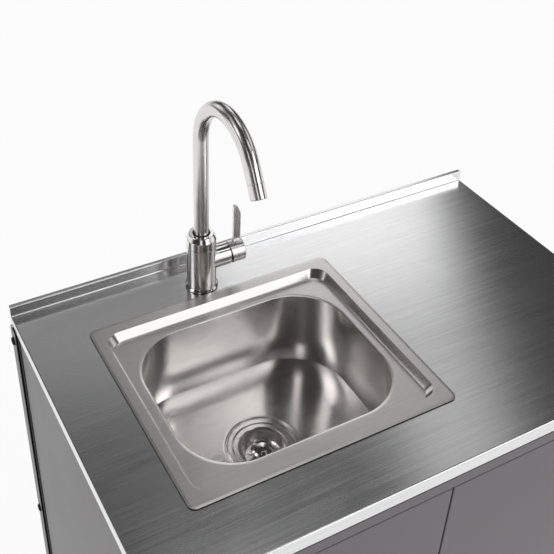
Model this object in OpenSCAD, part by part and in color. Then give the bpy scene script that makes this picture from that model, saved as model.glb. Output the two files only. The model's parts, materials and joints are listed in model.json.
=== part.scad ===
// Outdoor kitchen unit: a sheet-metal cabinet with a stainless worktop, a set-in sink and a tall swivel tap.
// Millimetres, +Z up, +X to the right, doors facing -Y.
// The origin is on the floor under the middle of the unit.

/* [Worktop] */
// Width of the worktop
worktop_w = 900; // [800:10:1400]
// Depth of the worktop, from the front band to the back of the upstand
worktop_d = 566; // [530:2:700]
// Height of the worktop's top face above the floor
worktop_h = 910; // [820:5:1000]
// Thickness of the worktop sheet
sheet_t = 1.2; // [1:0.1:2]
// Height of the folded band along the front and back
band_h = 24; // [20:1:40]
// Height of the folded band along the sides
side_band_h = 17.5; // [12:0.5:20]
// Width of the lip folded in at the foot of the band
lip_d = 16; // [12:1:24]
// Height of the upstand along the back
upstand_h = 20; // [12:1:60]
// Thickness of the folded upstand
upstand_t = 8; // [5:0.5:16]
// Radius of the folds
fold_r = 2; // [1.5:0.1:3]
// Width of each stiffener under the worktop
stiffener_w = 44; // [30:2:60]
// Height of each stiffener
stiffener_h = 16; // [10:1:18]

/* [Frame] */
// Outer width of the square corner posts
post_s = 36; // [32:1:45]
// Corner radius of the posts
post_r = 3; // [2:0.5:4]
// Wall of the posts and rails
tube_t = 1.5; // [1.2:0.1:1.8]
// Depth of the front rails, from the door's front to the posts
front_depth = 26; // [25.5:0.5:34]
// Height of the top front rail
rail_h = 19.5; // [14:0.5:40]
// Dark gap between the worktop's band and the rail and panels under it
shadow_gap = 2.5; // [1.5:0.5:5]
// Height of the bottom rails
plinth_h = 36; // [28:1:60]
// Depth of the rear rails and the bottom side rails
back_rail_d = 20; // [15:1:30]
// Height of the top rear rail
back_rail_h = 22; // [15:1:40]
// Reach of the door stop strips past the rails
stop_reach = 18; // [14:1:30]

/* [Panels] */
// Thickness of the panel sheet
panel_t = 1; // [0.8:0.1:1.5]
// Width of the folded edge on the side panels
panel_fold = 16; // [10:1:25]
// How far the side panels lie in from the worktop's sides
side_inset = 2.5; // [2:0.5:8]
// How far the back panel's flanges stand out past the worktop's sides
flange_out = 2; // [0:0.5:4]
// Width of the back panel's flange that wraps round the sides
flange_w = 25; // [18:1:30]
// Width of the service cut-out in the back panel
service_w = 240; // [180:5:300]
// Height of the service cut-out
service_h = 110; // [90:5:160]
// Corner radius of the service cut-out
service_r = 8; // [3:1:20]

/* [Panel screws] */
// Radius of the pan head
screw_head_r = 7; // [4:0.5:8]
// Height of the pan head
screw_head_h = 3.4; // [1.5:0.1:4]
// Radius of the shank
screw_r = 2.5; // [2:0.1:3]
// Length of the shank
screw_l = 10; // [6:1:14]
// Distance of the top screw from the panels' upper end
screw_top = 25.5; // [15:0.5:60]
// Distance from the top screw down to the middle one
screw_pitch = 418; // [100:1:450]
// Distance of the bottom screw from the body's lower end
screw_end = 30; // [20:1:60]

/* [Feet] */
// Clear height under the body
foot_gap = 22; // [20:1:60]
// Radius of the foot's pad
foot_r = 18; // [14:1:18]
// Thickness of the foot's pad
foot_pad_h = 8; // [6:1:12]
// Radius of the foot's threaded stem
foot_stem_r = 5; // [4:0.5:6]
// Length of stem above the body's underside
foot_stem_l = 30; // [28:1:60]
// Thickness of the welded plate that the stem screws into
foot_plate_t = 5; // [4:0.5:8]

/* [Doors] */
// Thickness of the doors
door_t = 20; // [19.5:0.5:21]
// Gap between the two doors
door_gap = 3; // [2:0.5:6]
// Gap between a door and the rails above and below it
door_rail_gap = 2.5; // [2:0.1:4]
// Distance of a door's outer edge from the worktop's side
door_reveal = 1; // [0.5:0.5:4]
// Thickness of the door sheet
door_sheet = 1; // [0.8:0.1:1.5]
// Depth of the liner's folded rim
liner_rim = 9; // [6:1:14]
// Distance of the hinge pin from the door's outer edge
hinge_edge = 10; // [9.5:0.5:11]
// Distance of the hinge pin from the door's front face
hinge_back = 10; // [9.5:0.5:10.5]
// Radius of the hinge pin
pin_r = 3; // [2.5:0.1:3.5]
// Length of the pin inside the door
pin_l = 13; // [10:1:20]
// Radius of the pin's head inside the rail
pin_head_r = 6; // [5:0.5:8]
// Height of the pin's head
pin_head_h = 2.5; // [2:0.5:4]
// Wall of the hinge bush
bush_wall = 2.5; // [1.5:0.1:3]
// Radius of the bush's flange
bush_flange_r = 8; // [7.5:0.1:9]
// Thickness of the bush's flange
bush_flange_t = 1.4; // [1:0.1:1.5]
// Thickness of the bush's closed end
bush_end = 2; // [1:0.5:4]

/* [Handles] */
// Length of the handle bar
handle_l = 320; // [160:10:400]
// Radius of the handle bar
handle_r = 6; // [4:0.5:9]
// How far the handle stands out from the door
handle_out = 34; // [30:1:50]
// Distance of the handle from the door's free edge
handle_edge = 45; // [30:1:90]
// Radius of the handle's two feet
handle_foot_r = 5; // [4:0.5:6]
// Distance of each foot from the bar's end
handle_foot_in = 30; // [15:1:60]

/* [Door catches] */
// Width of a magnetic catch
catch_w = 46; // [30:1:60]
// Height of a magnetic catch
catch_h = 14; // [10:1:15]
// Distance of a catch from the middle of the unit
catch_x = 60; // [40:1:120]
// Radius of a door bumper
bumper_r = 5; // [4:0.5:7]
// How much the bumper narrows to its face
bumper_slope = 1; // [0.5:0.1:2]
// Distance of a bumper from the middle of the unit
bumper_x = 130; // [110:1:200]
// Gap between the closed door and its catches and bumpers
catch_gap = 0.5; // [0.3:0.1:1]

/* [Sink] */
// Width of the sink's rim
sink_w = 430; // [400:2:460]
// Depth of the sink's rim
sink_d = 372; // [350:2:390]
// Distance of the rim from the worktop's left side
sink_left = 95.5; // [70:0.5:160]
// Distance of the rim from the upstand
sink_back = 89.5; // [88.5:0.5:110]
// Corner radius of the rim
rim_r = 12; // [6:1:20]
// Height of the rim's top face above the worktop
rim_h = 2.2; // [2:0.1:4]
// Width of the flat rim at the sides
rim_side = 14.5; // [12:0.5:20]
// Width of the flat rim at the front and back
rim_front = 17.5; // [12:0.5:24]
// Run of the sloped step inside the rim
bevel_run = 12; // [8:0.5:14]
// Depth of the ledge below the worktop's top face
ledge_z = 12; // [8:0.5:16]
// Corner radius at the top of the sloped step
bevel_r = 26; // [20:1:34]
// Width of the ledge at the sides
ledge_side = 12; // [9:0.5:16]
// Width of the ledge at the front and back
ledge_front = 14; // [9:0.5:18]
// Corner radius of the bowl
bowl_r = 90; // [70:1:110]
// How much the bowl narrows on each side down to its floor
bowl_draft = 8; // [4:0.5:14]
// Depth of the bowl's floor below the worktop's top face
bowl_depth = 180; // [140:2:200]
// Radius between the bowl's walls and its floor
bowl_floor_r = 45; // [30:1:55]
// Thickness of the sink sheet
sink_t = 1; // [0.8:0.1:1.2]
// Thickness of the seal under the rim
seal_t = 1.1; // [1:0.1:1.1]
// Width of the seal strip
seal_w = 7; // [5:0.5:8]
// Distance of the seal from the rim's edge
seal_inset = 1.5; // [1:0.1:2]
// Gap between the sink's pan and the edge of the cut-out
cut_clear = 2; // [1.5:0.1:3]

/* [Sink clips] */
// Width of a clip
clip_w = 18; // [14:1:24]
// Thickness of a clip
clip_t = 2.5; // [2:0.1:4]
// Reach of a clip past the edge of the cut-out
clip_reach = 12; // [10:0.5:16]
// Radius of a clip's screw
clip_screw_r = 2; // [1.5:0.1:2.5]
// Length of the clip's screw below the clip
clip_screw_tail = 4; // [2:0.5:10]
// Height of the clip's screw head
clip_head_h = 3; // [2:0.5:5]

/* [Waste] */
// Radius of the pressed recess round the drain
recess_r = 61.5; // [60:0.5:68]
// Depth of the recess
recess_h = 2.5; // [2:0.1:4]
// Radius of the drain hole
drain_hole_r = 52; // [51.5:0.1:54]
// Outer radius of the strainer's flange
flange_r = 59; // [57:0.5:60]
// Inner radius of the strainer's flange
flange_in_r = 49.6; // [49.4:0.1:50]
// Outer radius of the strainer's cup
cup_r = 46; // [45.5:0.1:48]
// Depth of the strainer's cup
cup_h = 55; // [45:1:70]
// Wall of the strainer's cup
cup_t = 1.2; // [1:0.1:1.5]
// Length of the spigot under the strainer's cup
spigot_l = 20; // [16:1:26]
// Thickness of the seal under the bowl
drain_seal_t = 3; // [2:0.1:4]
// Height of the nut under the bowl
drain_nut_h = 10; // [8:0.5:16]
// Radius of the basket's rim
basket_rim_r = 48.8; // [48.5:0.1:49]
// Radius where the basket turns down
basket_r = 40; // [38:0.5:42]
// Thickness of the basket's rim
basket_edge = 0.5; // [0.4:0.1:0.8]
// Depth of the basket
basket_h = 22; // [18:1:30]
// Radius of the basket's floor
basket_floor_r = 28; // [27:0.5:30]
// Radius of the basket's knob
knob_r = 19.5; // [15:0.5:21]
// Number of slots round the basket's floor
slot_count = 12; // [6:1:12]
// Outer radius of the spigot under the strainer's cup
spigot_r = 20; // [18.5:0.5:21]
// Outer radius of the waste pipe
pipe_r = 16; // [14:0.5:18]
// Wall of the waste pipes
pipe_t = 1.9; // [1.5:0.1:2.5]
// Outer radius of the waste pipe's wide end
outlet_r = 20; // [18.5:0.5:22]
// Length of the waste pipe's wide end
outlet_l = 45; // [30:1:60]
// Outer radius of the tailpiece
tail_r = 16; // [14.5:0.5:16]
// Length of the tailpiece below the strainer's cup
tail_l = 92; // [70:1:110]
// Outer radius of the bottle trap
trap_r = 32; // [29:1:38]
// Height of the bottle trap's upper half
trap_h = 56; // [54:1:80]
// Height of the bottle trap's cup
trap_cup_h = 70; // [50:1:100]
// Wall of the trap
trap_t = 2.5; // [2:0.1:3]
// Wall of the trap's two necks
neck_wall = 4; // [3:0.1:5]
// Length of the trap's inlet neck
inlet_neck = 18; // [16:1:24]
// Length of the trap's outlet neck past its wall
outlet_neck = 26; // [22:1:34]
// Wall of the plastic nuts
nut_wall = 5; // [4:0.5:6]
// Length over which a nut grips its neck
nut_grip = 14; // [10:1:15]
// Depth of the groove between two finger grips of a nut
grip_depth = 1.6; // [1:0.1:2]
// Thickness of the tailpiece's flange
tail_flange_t = 1.6; // [1.2:0.1:2.5]
// Distance of the waste pipe's end from the unit's back
pipe_inset = 12; // [5:1:30]

/* [Tap] */
// Distance of the tap from the upstand
tap_back = 61; // [59:0.5:61]
// Distance of the tap to the left of the sink's middle
tap_left = 5; // [-20:1:30]
// Radius of the tap's base
tap_base_r = 27.2; // [26:0.1:27.5]
// Height of the tap's base with its seal
tap_base_h = 5.5; // [4:0.5:8]
// Thickness of the tap's seal
tap_seal_t = 1.2; // [1:0.1:2]
// Radius of the tap's body
tap_r = 24.1; // [23:0.1:25]
// Height of the seam between body and collar above the worktop
tap_body_h = 83.5; // [80:0.5:100]
// Height of the collar
collar_h = 24; // [18:1:34]
// Width of the slope round the collar's top
collar_slope = 1.6; // [1:0.1:2.5]
// Radius of the bore that takes the spout's bush
collar_bore_r = 14.3; // [14.2:0.1:15]
// Outer radius of the spout tube
spout_r = 12.3; // [11:0.1:12.5]
// Wall of the spout tube
spout_wall = 1.5; // [1:0.1:2]
// Height above the worktop where the spout starts to bend
spout_rise = 281; // [220:1:340]
// Radius of the spout's bend
spout_bend_r = 85; // [70:1:100]
// Angle of the spout's bend
spout_bend = 151; // [120:1:180]
// Length of the straight nozzle on the spout's end
nozzle_l = 44; // [30:1:60]
// Length of the aerator housing at the nozzle's mouth
aerator_l = 22; // [14:1:26]
// Depth of the spout inside the collar
spout_sink = 52; // [40:1:54]
// Thickness of the floor of the spout's bush
bush_floor = 4; // [3:0.5:6]
// Depth of the bush's top below the collar's top
bush_drop = 2.5; // [1:0.5:6]

/* [Mixer] */
// Height of the mixer barrel's axis above the worktop
barrel_z = 52; // [48:0.5:54]
// Radius of the mixer barrel
barrel_r = 20; // [19:0.5:22]
// Wall of the mixer barrel
barrel_wall = 2.5; // [2:0.1:3]
// Distance of the barrel's end from the tap's axis
barrel_end = 46; // [44:0.5:52]
// Wall between the spout's bore and the cartridge
cartridge_wall = 1.7; // [1.2:0.1:2.5]
// How far the cartridge lies in from the barrel's end
cartridge_in = 2; // [1:0.1:3]
// Gap between barrel and lever hub at the top
hub_gap_top = 1.2; // [1:0.1:2]
// Gap between barrel and lever hub at the bottom
hub_gap_low = 6.4; // [6.2:0.1:8]
// Distance of the hub's end from the tap's axis
hub_end = 73.5; // [71:0.5:84]
// Distance of the tilt pivot from the barrel's end
pivot_out = 5.5; // [5.5:0.1:6]
// Width of the lever blade
blade_w = 12.5; // [8:0.5:14]
// Distance of the blade from the hub's end
blade_in = 3.5; // [2:0.5:6]
// Thickness of the lever blade
blade_t = 5; // [3:0.5:8]
// Height of the lever's tip above the barrel's axis
blade_h = 90; // [60:1:130]
// Height of the slanted corner at the lever's tip
blade_slant = 17; // [5:1:25]
// Radius of the cartridge's rotor
rotor_r = 13; // [11.5:0.1:13]
// Length of the rotor inside the cartridge
rotor_l = 8; // [6:0.5:10]
// Distance between the rotor's two ears
ear_gap = 10.8; // [10:0.1:12]
// Thickness of each ear
ear_t = 3; // [2:0.1:3.5]
// Radius of the tilt pivot
tilt_pin_r = 2; // [1.5:0.1:2.2]

/* [Tap fixing] */
// Radius of the threaded shank
shank_r = 16; // [15.5:0.1:16.5]
// Depth of the shank's socket in the tap's body
socket_h = 14; // [10:0.5:16]
// Length of the shank below the worktop
shank_l = 46; // [40:1:60]
// Gap between the shank and the hole in the worktop
shank_clear = 1.5; // [0.5:0.1:2]
// Radius of the supply inlets in the shank's end
inlet_r = 4.6; // [4:0.1:5]
// Depth of the supply inlets
inlet_l = 14; // [10:1:20]
// Radius of the clamp plate
clamp_r = 24; // [22:0.5:25]
// Thickness of the clamp plate
clamp_t = 3; // [2:0.5:5]
// Radius of the shank's nut
shank_nut_r = 22; // [20:0.5:24]
// Height of the shank's nut
shank_nut_h = 9; // [7:0.5:12]

/* [Fits] */
// Radial clearance of a turning fit
run_fit = 0.05; // [0.03:0.01:0.08]
// Clearance of a piece that is pushed in by hand
hand_fit = 0.3; // [0.2:0.05:0.4]

/* [Hidden] */
$fn = 64;

steel = [0.74, 0.74, 0.75];
chrome = [0.86, 0.86, 0.88];
grey_paint = [0.47, 0.45, 0.46];
black_paint = [0.06, 0.06, 0.06];
rubber = [0.1, 0.1, 0.1];
plastic = [0.9, 0.9, 0.88];

// Overall places
half_w = worktop_w / 2;
back_half = half_w + flange_out;
y_front = (handle_out - worktop_d) / 2;
y_back = y_front + worktop_d;
y_upstand = y_back - upstand_t;
z_top = worktop_h;
z_body = z_top - band_h;
z_panel = z_body - shadow_gap;
z_side = z_top - side_band_h;
z_side_panel = z_side - shadow_gap;
z_base = foot_gap;
z_floor = z_base + plinth_h;
eps = 0.01;
cut = 2;
crease_r = 0.5;
seal_air = 0.1;

// Frame
post_x = half_w - panel_t - post_s / 2;
post_front_y = y_front + front_depth + post_s / 2;
post_rear_y = y_back - panel_t - post_s / 2;
clear_half = post_x - post_s / 2;
z_rail = z_panel - rail_h;
z_door_low = z_floor + door_rail_gap;
z_door_high = z_rail - door_rail_gap;

// Sink, with its middle and the sizes of its steps
sink_x = -half_w + sink_left + sink_w / 2;
sink_y = y_upstand - sink_back - sink_d / 2;
pan_w = sink_w - 2 * rim_side;
pan_d = sink_d - 2 * rim_front;
step_w = pan_w - 2 * bevel_run;
step_d = pan_d - 2 * bevel_run;
step_r = max(bevel_r - bevel_run / 3, 4);
bowl_w = step_w - 2 * ledge_side;
bowl_d = step_d - 2 * ledge_front;
cutout_w = pan_w + 2 * (sink_t + cut_clear);
cutout_d = pan_d + 2 * (sink_t + cut_clear);
cutout_r = bevel_r + cut_clear;
z_rim = z_top + rim_h;
z_ledge = z_top - ledge_z;
z_bowl = z_top - bowl_depth;
z_recess = z_bowl - recess_h;

// Waste, from the recess down
z_cup = z_recess - cup_h;
z_tail = z_cup - spigot_l;
z_trap = z_cup - tail_l;
z_outlet = z_trap - trap_h / 2;
z_drain_seal = z_recess - sink_t - drain_seal_t;
trap_outlet_l = trap_r + outlet_neck;
y_pipe_stop = sink_y + trap_r + trap_t;

// Tap
tap_x = sink_x - tap_left;
tap_y = y_upstand - tap_back;
z_tap_body = z_top + tap_base_h;
z_seam = z_top + tap_body_h;
z_collar = z_seam + collar_h;
z_barrel = z_top + barrel_z;
z_spout_foot = z_seam + collar_h - spout_sink;
z_socket = z_tap_body + socket_h;
x_barrel = tap_x + barrel_end;
x_pivot = x_barrel + pivot_out;
x_hub = tap_x + hub_end;
cartridge_x = tap_x + collar_bore_r + cartridge_wall;

// Doors
door_w = half_w - door_reveal - door_gap / 2;
door_x = -half_w + door_reveal + door_w / 2;
door_z = (z_door_low + z_door_high) / 2;
door_h = z_door_high - z_door_low;
pivot_x = half_w - door_reveal - hinge_edge;
pivot_y = y_front + hinge_back;
bush_r = pin_r + run_fit + bush_wall;
y_door_back = y_front + door_t;
y_stop = y_front + front_depth;

// A box from its lowest corner to its highest corner
module box_between(a, b) {
    translate(a) cube(b - a);
}

// A flat outline with round corners
module rounded_rect(w, d, r) {
    square([w - 2 * r, d], center = true);
    square([w, d - 2 * r], center = true);
    for (sx = [-1, 1], sy = [-1, 1])
        translate([sx * (w / 2 - r), sy * (d / 2 - r)]) circle(r = r);
}

// A flat outline that stands on its lower side and has round upper corners
module arched_rect(w, h, r) {
    translate([-w / 2, 0]) square([w, h - r]);
    translate([r - w / 2, 0]) square([w - 2 * r, h]);
    for (s = [-1, 1])
        translate([s * (w / 2 - r), h - r]) circle(r = r);
}

// A block on z = 0 whose top face has folded edges of radius r
module folded_block(w, d, h, r) {
    intersection() {
        translate([0, d / 2, 0]) rotate([90, 0, 0]) linear_extrude(d) arched_rect(w, h, r);
        translate([-w / 2, 0, 0]) rotate([90, 0, 90]) linear_extrude(w) arched_rect(d, h, r);
    }
}

// An upturned tray of folded sheet, open below
module folded_pan(w, d, h, t) {
    difference() {
        folded_block(w, d, h, crease_r + t);
        translate([0, 0, -cut]) folded_block(w - 2 * t, d - 2 * t, h - t + cut, crease_r);
    }
}

// A ring or tube standing on z = 0
module tube(r_out, r_in, h) {
    difference() {
        cylinder(r = r_out, h = h);
        translate([0, 0, -cut]) cylinder(r = r_in, h = h + 2 * cut);
    }
}

// A square tube between two corners, open at both ends along the given axis
module box_tube(a, b, t, axis) {
    grow = [for (i = [0 : 2]) i == axis ? cut : -t];
    difference() {
        box_between(a, b);
        box_between(a - grow, b + grow);
    }
}

// A square tube between two corners with closed ends
module closed_tube(a, b, t) {
    difference() {
        box_between(a, b);
        box_between(a + [t, t, t], b - [t, t, t]);
    }
}

// Worktop: one folded sheet with front and side bands, a lip below and a folded upstand
module worktop() color(steel) {
    middle_y = (y_front + y_back) / 2;
    difference() {
        union() {
            translate([0, middle_y, z_body]) folded_block(worktop_w, worktop_d, band_h, fold_r);
            translate([0, y_back - upstand_t / 2, z_body])
                folded_block(worktop_w, upstand_t, band_h + upstand_h, sheet_t + crease_r);
            upstand_fillet();
        }
        translate([0, middle_y, z_body - cut])
            folded_block(worktop_w - 2 * sheet_t, worktop_d - 2 * sheet_t, band_h - sheet_t + cut,
                max(fold_r - sheet_t, crease_r));
        translate([0, y_back - upstand_t / 2, z_body - cut])
            folded_block(worktop_w - 2 * sheet_t, upstand_t - 2 * sheet_t,
                band_h + upstand_h - sheet_t + cut, crease_r);
        for (m = [0, 1])
            mirror([m, 0, 0])
                box_between([-half_w - cut, y_front + fold_r, z_body - cut],
                    [cut + sheet_t - half_w, y_back - sheet_t - crease_r, z_side]);
        translate([sink_x, sink_y, z_top - sheet_t - cut])
            linear_extrude(sheet_t + 2 * cut) rounded_rect(cutout_w, cutout_d, cutout_r);
        translate([tap_x, tap_y, z_top - sheet_t - cut])
            cylinder(r = shank_r + shank_clear, h = sheet_t + 2 * cut);
    }
    worktop_lip();
}

// Small round inside corner where the worktop turns up into the upstand
module upstand_fillet() {
    difference() {
        box_between([sheet_t - half_w, y_upstand - fold_r, z_top - sheet_t / 2],
            [half_w - sheet_t, y_upstand + sheet_t / 2, z_top + fold_r]);
        translate([-half_w - cut, y_upstand - fold_r, z_top + fold_r])
            rotate([0, 90, 0]) cylinder(r = fold_r, h = worktop_w + 2 * cut);
    }
}

// Lips folded in at the foot of the bands: front and back first, then the higher side ones
module worktop_lip() {
    reach = lip_d - sheet_t / 2;
    for (y = [y_front + sheet_t / 2, y_back - lip_d])
        box_between([fold_r - half_w, y, z_body], [half_w - fold_r, y + reach, z_body + sheet_t]);
    for (x = [sheet_t / 2 - half_w, half_w - lip_d])
        box_between([x, y_front + sheet_t / 2, z_side],
            [x + reach, y_back - sheet_t / 2, z_side + sheet_t]);
}

// Stiffeners: hat channels spot-welded under the worktop, beside the sink and at the right
module worktop_stiffeners() color(steel) {
    left_x = (-half_w + sink_x - cutout_w / 2) / 2;
    right_0 = sink_x + cutout_w / 2;
    for (x = [left_x, right_0 + (half_w - right_0) / 3, right_0 + (half_w - right_0) * 2 / 3])
        translate([x, 0, 0]) stiffener();
}

module stiffener() {
    y0 = y_front + lip_d + sheet_t;
    y1 = y_upstand - lip_d;
    z1 = z_top - sheet_t;
    half = stiffener_w / 2;
    wing = stiffener_w / 5;
    box_between([-half, y0, z1 - sheet_t], [-half + wing, y1, z1]);
    box_between([half - wing, y0, z1 - sheet_t], [half, y1, z1]);
    box_between([-half + wing - sheet_t, y0, z1 - stiffener_h], [-half + wing, y1, z1]);
    box_between([half - wing, y0, z1 - stiffener_h], [half - wing + sheet_t, y1, z1]);
    box_between([-half + wing - sheet_t, y0, z1 - stiffener_h],
        [half - wing + sheet_t, y1, z1 - stiffener_h + sheet_t]);
}

// Top front rail: a flush box rail with a door stop strip folded down behind the doors
module front_rail_top() color(grey_paint) difference() {
    union() {
        closed_tube([door_reveal - half_w, y_front, z_rail],
            [half_w - door_reveal, y_stop, z_panel], tube_t);
        box_between([-clear_half + hand_fit, y_stop, z_rail - stop_reach],
            [clear_half - hand_fit, y_stop + tube_t, z_panel]);
    }
    pin_holes(z_rail + tube_t / 2);
}

// Bottom front rail: the same section turned over, with its stop strip folded up
module front_rail_bottom() color(grey_paint) difference() {
    union() {
        closed_tube([door_reveal - half_w, y_front, z_base],
            [half_w - door_reveal, y_stop, z_floor], tube_t);
        box_between([-clear_half + hand_fit, y_stop, z_base],
            [clear_half - hand_fit, y_stop + tube_t, z_floor + stop_reach]);
    }
    pin_holes(z_floor - tube_t / 2);
}

// Bores for the two hinge pins in the wall at height z
module pin_holes(z) {
    for (s = [-1, 1])
        translate([s * pivot_x, pivot_y, z - tube_t]) cylinder(r = pin_r + run_fit, h = 2 * tube_t);
}

// Rear rails between the rear posts
module rear_rail_top() color(black_paint)
    box_tube([-clear_half, y_back - panel_t - back_rail_d, z_panel - back_rail_h],
        [clear_half, y_back - panel_t, z_panel], tube_t, 0);

module rear_rail_bottom() color(black_paint)
    box_tube([-clear_half, y_back - panel_t - back_rail_d, z_base],
        [clear_half, y_back - panel_t, z_floor], tube_t, 0);

// Bottom side rails between the front and rear posts
module side_rail() color(black_paint) {
    x0 = -half_w + side_inset + panel_t;
    box_tube([x0, post_front_y + post_s / 2, z_base],
        [x0 + back_rail_d, post_rear_y - post_s / 2, z_floor], tube_t, 1);
}

module side_rail_left() side_rail();

module side_rail_right() mirror([1, 0, 0]) side_rail();

// Corner post: a square tube with a welded plate that takes the levelling foot
module post(x, y, z_high) color(black_paint) difference() {
    union() {
        translate([x, y, z_base]) linear_extrude(z_high - z_base) difference() {
            rounded_rect(post_s, post_s, post_r);
            rounded_rect(post_s - 2 * tube_t, post_s - 2 * tube_t, post_r - tube_t);
        }
        translate([x, y, z_base]) linear_extrude(foot_plate_t)
            rounded_rect(post_s - tube_t, post_s - tube_t, post_r - tube_t / 2);
    }
    translate([x, y, z_base - cut]) cylinder(r = foot_stem_r + run_fit, h = foot_plate_t + 2 * cut);
    side_screws() cylinder(r = screw_r + run_fit, h = flange_out + panel_t + tube_t + 2 * cut);
}

module post_front_left() post(-post_x, post_front_y, z_side);

module post_front_right() post(post_x, post_front_y, z_side);

module post_rear_left() post(-post_x, post_rear_y, z_body);

module post_rear_right() post(post_x, post_rear_y, z_body);

// Side panel: a folded tray that fills the bay between the posts, notched for the bottom rail
module side_panel() color(grey_paint) {
    y0 = post_front_y + post_s / 2;
    y1 = post_rear_y - post_s / 2;
    height = z_side_panel - z_base;
    translate([-half_w + side_inset + panel_fold, (y0 + y1) / 2, (z_base + z_side_panel) / 2])
        rotate([0, -90, 0])
            difference() {
                folded_pan(height, y1 - y0, panel_fold, panel_t);
                translate([-height / 2 - cut, -(y1 - y0) / 2 - cut, -cut])
                    cube([cut + plinth_h + hand_fit, y1 - y0 + 2 * cut, panel_fold - panel_t + cut]);
            }
}

module side_panel_left() side_panel();

module side_panel_right() mirror([1, 0, 0]) side_panel();

// Back panel: a sheet whose side flanges wrap round the rear posts, with a service cut-out
module back_panel() color(grey_paint) difference() {
    union() {
        translate([0, y_back - flange_w, (z_base + z_panel) / 2])
            rotate([-90, 0, 0])
                folded_pan(2 * back_half, z_panel - z_base, flange_w, panel_t);
        for (x = [-back_half, back_half - panel_t])
            box_between([x, y_back - flange_w, z_panel - panel_t - 2 * crease_r],
                [x + panel_t, y_back - panel_t - crease_r, z_side_panel]);
    }
    for (z = [z_base, z_panel])
        box_between([panel_t - back_half, y_back - flange_w - cut, z - cut],
            [back_half - panel_t, y_back - panel_t, z + cut]);
    translate([sink_x + service_w / 2 - 2 * outlet_r, y_back + cut, z_outlet])
        rotate([90, 0, 0]) linear_extrude(panel_t + 2 * cut) rounded_rect(service_w, service_h, service_r);
    side_screws() cylinder(r = screw_r + run_fit, h = panel_t + 2 * cut);
}

// Places of the pan-head screws: the axis points in from each side's face
module side_screws() {
    z_high = z_side_panel - screw_top;
    for (s = [-1, 1], z = [z_base + screw_end, z_high - screw_pitch, z_high])
        translate([s * back_half, y_back - flange_w / 2, z])
            rotate([0, -s * 90, 0]) translate([0, 0, -cut]) children();
}

module panel_screws() color(black_paint) side_screws()
    translate([0, 0, cut - screw_head_h]) rotate_extrude() {
        square([screw_r, screw_head_h + screw_l]);
        translate([0, screw_head_h / 2]) square([screw_head_r, screw_head_h / 2]);
        intersection() {
            square([screw_head_r, screw_head_h]);
            translate([screw_head_r - screw_head_h, screw_head_h]) circle(r = screw_head_h);
        }
        square([screw_head_r - screw_head_h, screw_head_h]);
    }

// Bottom panel: a flat sheet on the bottom rails, notched round the posts
module bottom_panel() color(grey_paint) difference() {
    box_between([-half_w + side_inset + panel_t + hand_fit, y_stop + tube_t + hand_fit, z_floor],
        [half_w - side_inset - panel_t - hand_fit, y_back - panel_t - hand_fit, z_floor + panel_t]);
    for (sx = [-1, 1], y = [post_front_y, post_rear_y])
        translate([sx * post_x, y, z_floor]) cube(post_s + 2 * (panel_t + hand_fit), center = true);
}

// Hinge pins: each has a head inside its rail
module hinge_pins() color(chrome) for (s = [-1, 1]) {
    translate([s * pivot_x, pivot_y, z_floor - tube_t]) hinge_pin();
    translate([s * pivot_x, pivot_y, z_rail + tube_t]) mirror([0, 0, 1]) hinge_pin();
}

module hinge_pin() {
    translate([0, 0, -pin_head_h]) cylinder(r = pin_head_r, h = pin_head_h);
    cylinder(r = pin_r, h = tube_t + door_rail_gap + pin_l);
}

// Rubber bumpers on the stop strips
module door_bumpers() color(rubber) {
    reach = y_stop - y_door_back - catch_gap;
    for (s = [-1, 1], z = [z_floor + stop_reach / 2, z_rail - stop_reach / 2])
        translate([s * bumper_x, y_stop, z]) rotate([90, 0, 0])
            cylinder(r1 = bumper_r, r2 = bumper_r - bumper_slope, h = reach);
}

// Magnetic catches on the top stop strip
module magnetic_catches() color(rubber) {
    z0 = z_rail - (stop_reach + catch_h) / 2;
    for (s = [-1, 1])
        translate([s * catch_x, 0, 0])
            box_between([-catch_w / 2, y_door_back + catch_gap, z0], [catch_w / 2, y_stop, z0 + catch_h]);
}

// Sink: rim, sloped step, ledge and bowl pressed from one sheet
module sink() color(steel) translate([sink_x, sink_y, 0]) difference() {
    union() {
        translate([0, 0, z_top + eps]) linear_extrude(rim_h - eps) rounded_rect(sink_w, sink_d, rim_r);
        step_form(sink_t);
        bowl_form(sink_t);
        translate([0, 0, z_recess - sink_t]) cylinder(r = recess_r + sink_t, h = recess_h);
    }
    step_form(0);
    bowl_form(0);
    seal_space(seal_air);
    translate([0, 0, z_recess]) cylinder(r = recess_r, h = recess_h + cut);
    translate([0, 0, z_recess - sink_t - cut]) cylinder(r = drain_hole_r, h = sink_t + 2 * cut);
}

// Solid form of the sloped step, grown by t for its outside
module step_form(t) {
    top_h = t > 0 ? eps : cut;
    hull() {
        translate([0, 0, z_rim - t]) linear_extrude(top_h)
            rounded_rect(pan_w + 2 * t, pan_d + 2 * t, bevel_r + t, $fn = 32);
        translate([0, 0, z_ledge - t]) linear_extrude(eps)
            rounded_rect(step_w + 2 * t, step_d + 2 * t, step_r + t, $fn = 32);
    }
}

// Solid form of the bowl, grown by t for its outside
module bowl_form(t) {
    top_h = t > 0 ? eps : cut;
    low_r = bowl_r - bowl_draft;
    hull() {
        translate([0, 0, z_ledge - t / 2]) linear_extrude(top_h)
            rounded_rect(bowl_w + 2 * t, bowl_d + 2 * t, bowl_r + t, $fn = 32);
        for (sx = [-1, 1], sy = [-1, 1])
            translate([sx * (bowl_w / 2 - bowl_r), sy * (bowl_d / 2 - bowl_r), z_bowl + bowl_floor_r])
                rotate_extrude($fn = 32) translate([low_r - bowl_floor_r, 0])
                    intersection() {
                        circle(r = bowl_floor_r + t, $fn = 32);
                        translate([0, -bowl_floor_r - t]) square(bowl_floor_r + t);
                    }
    }
}

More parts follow.
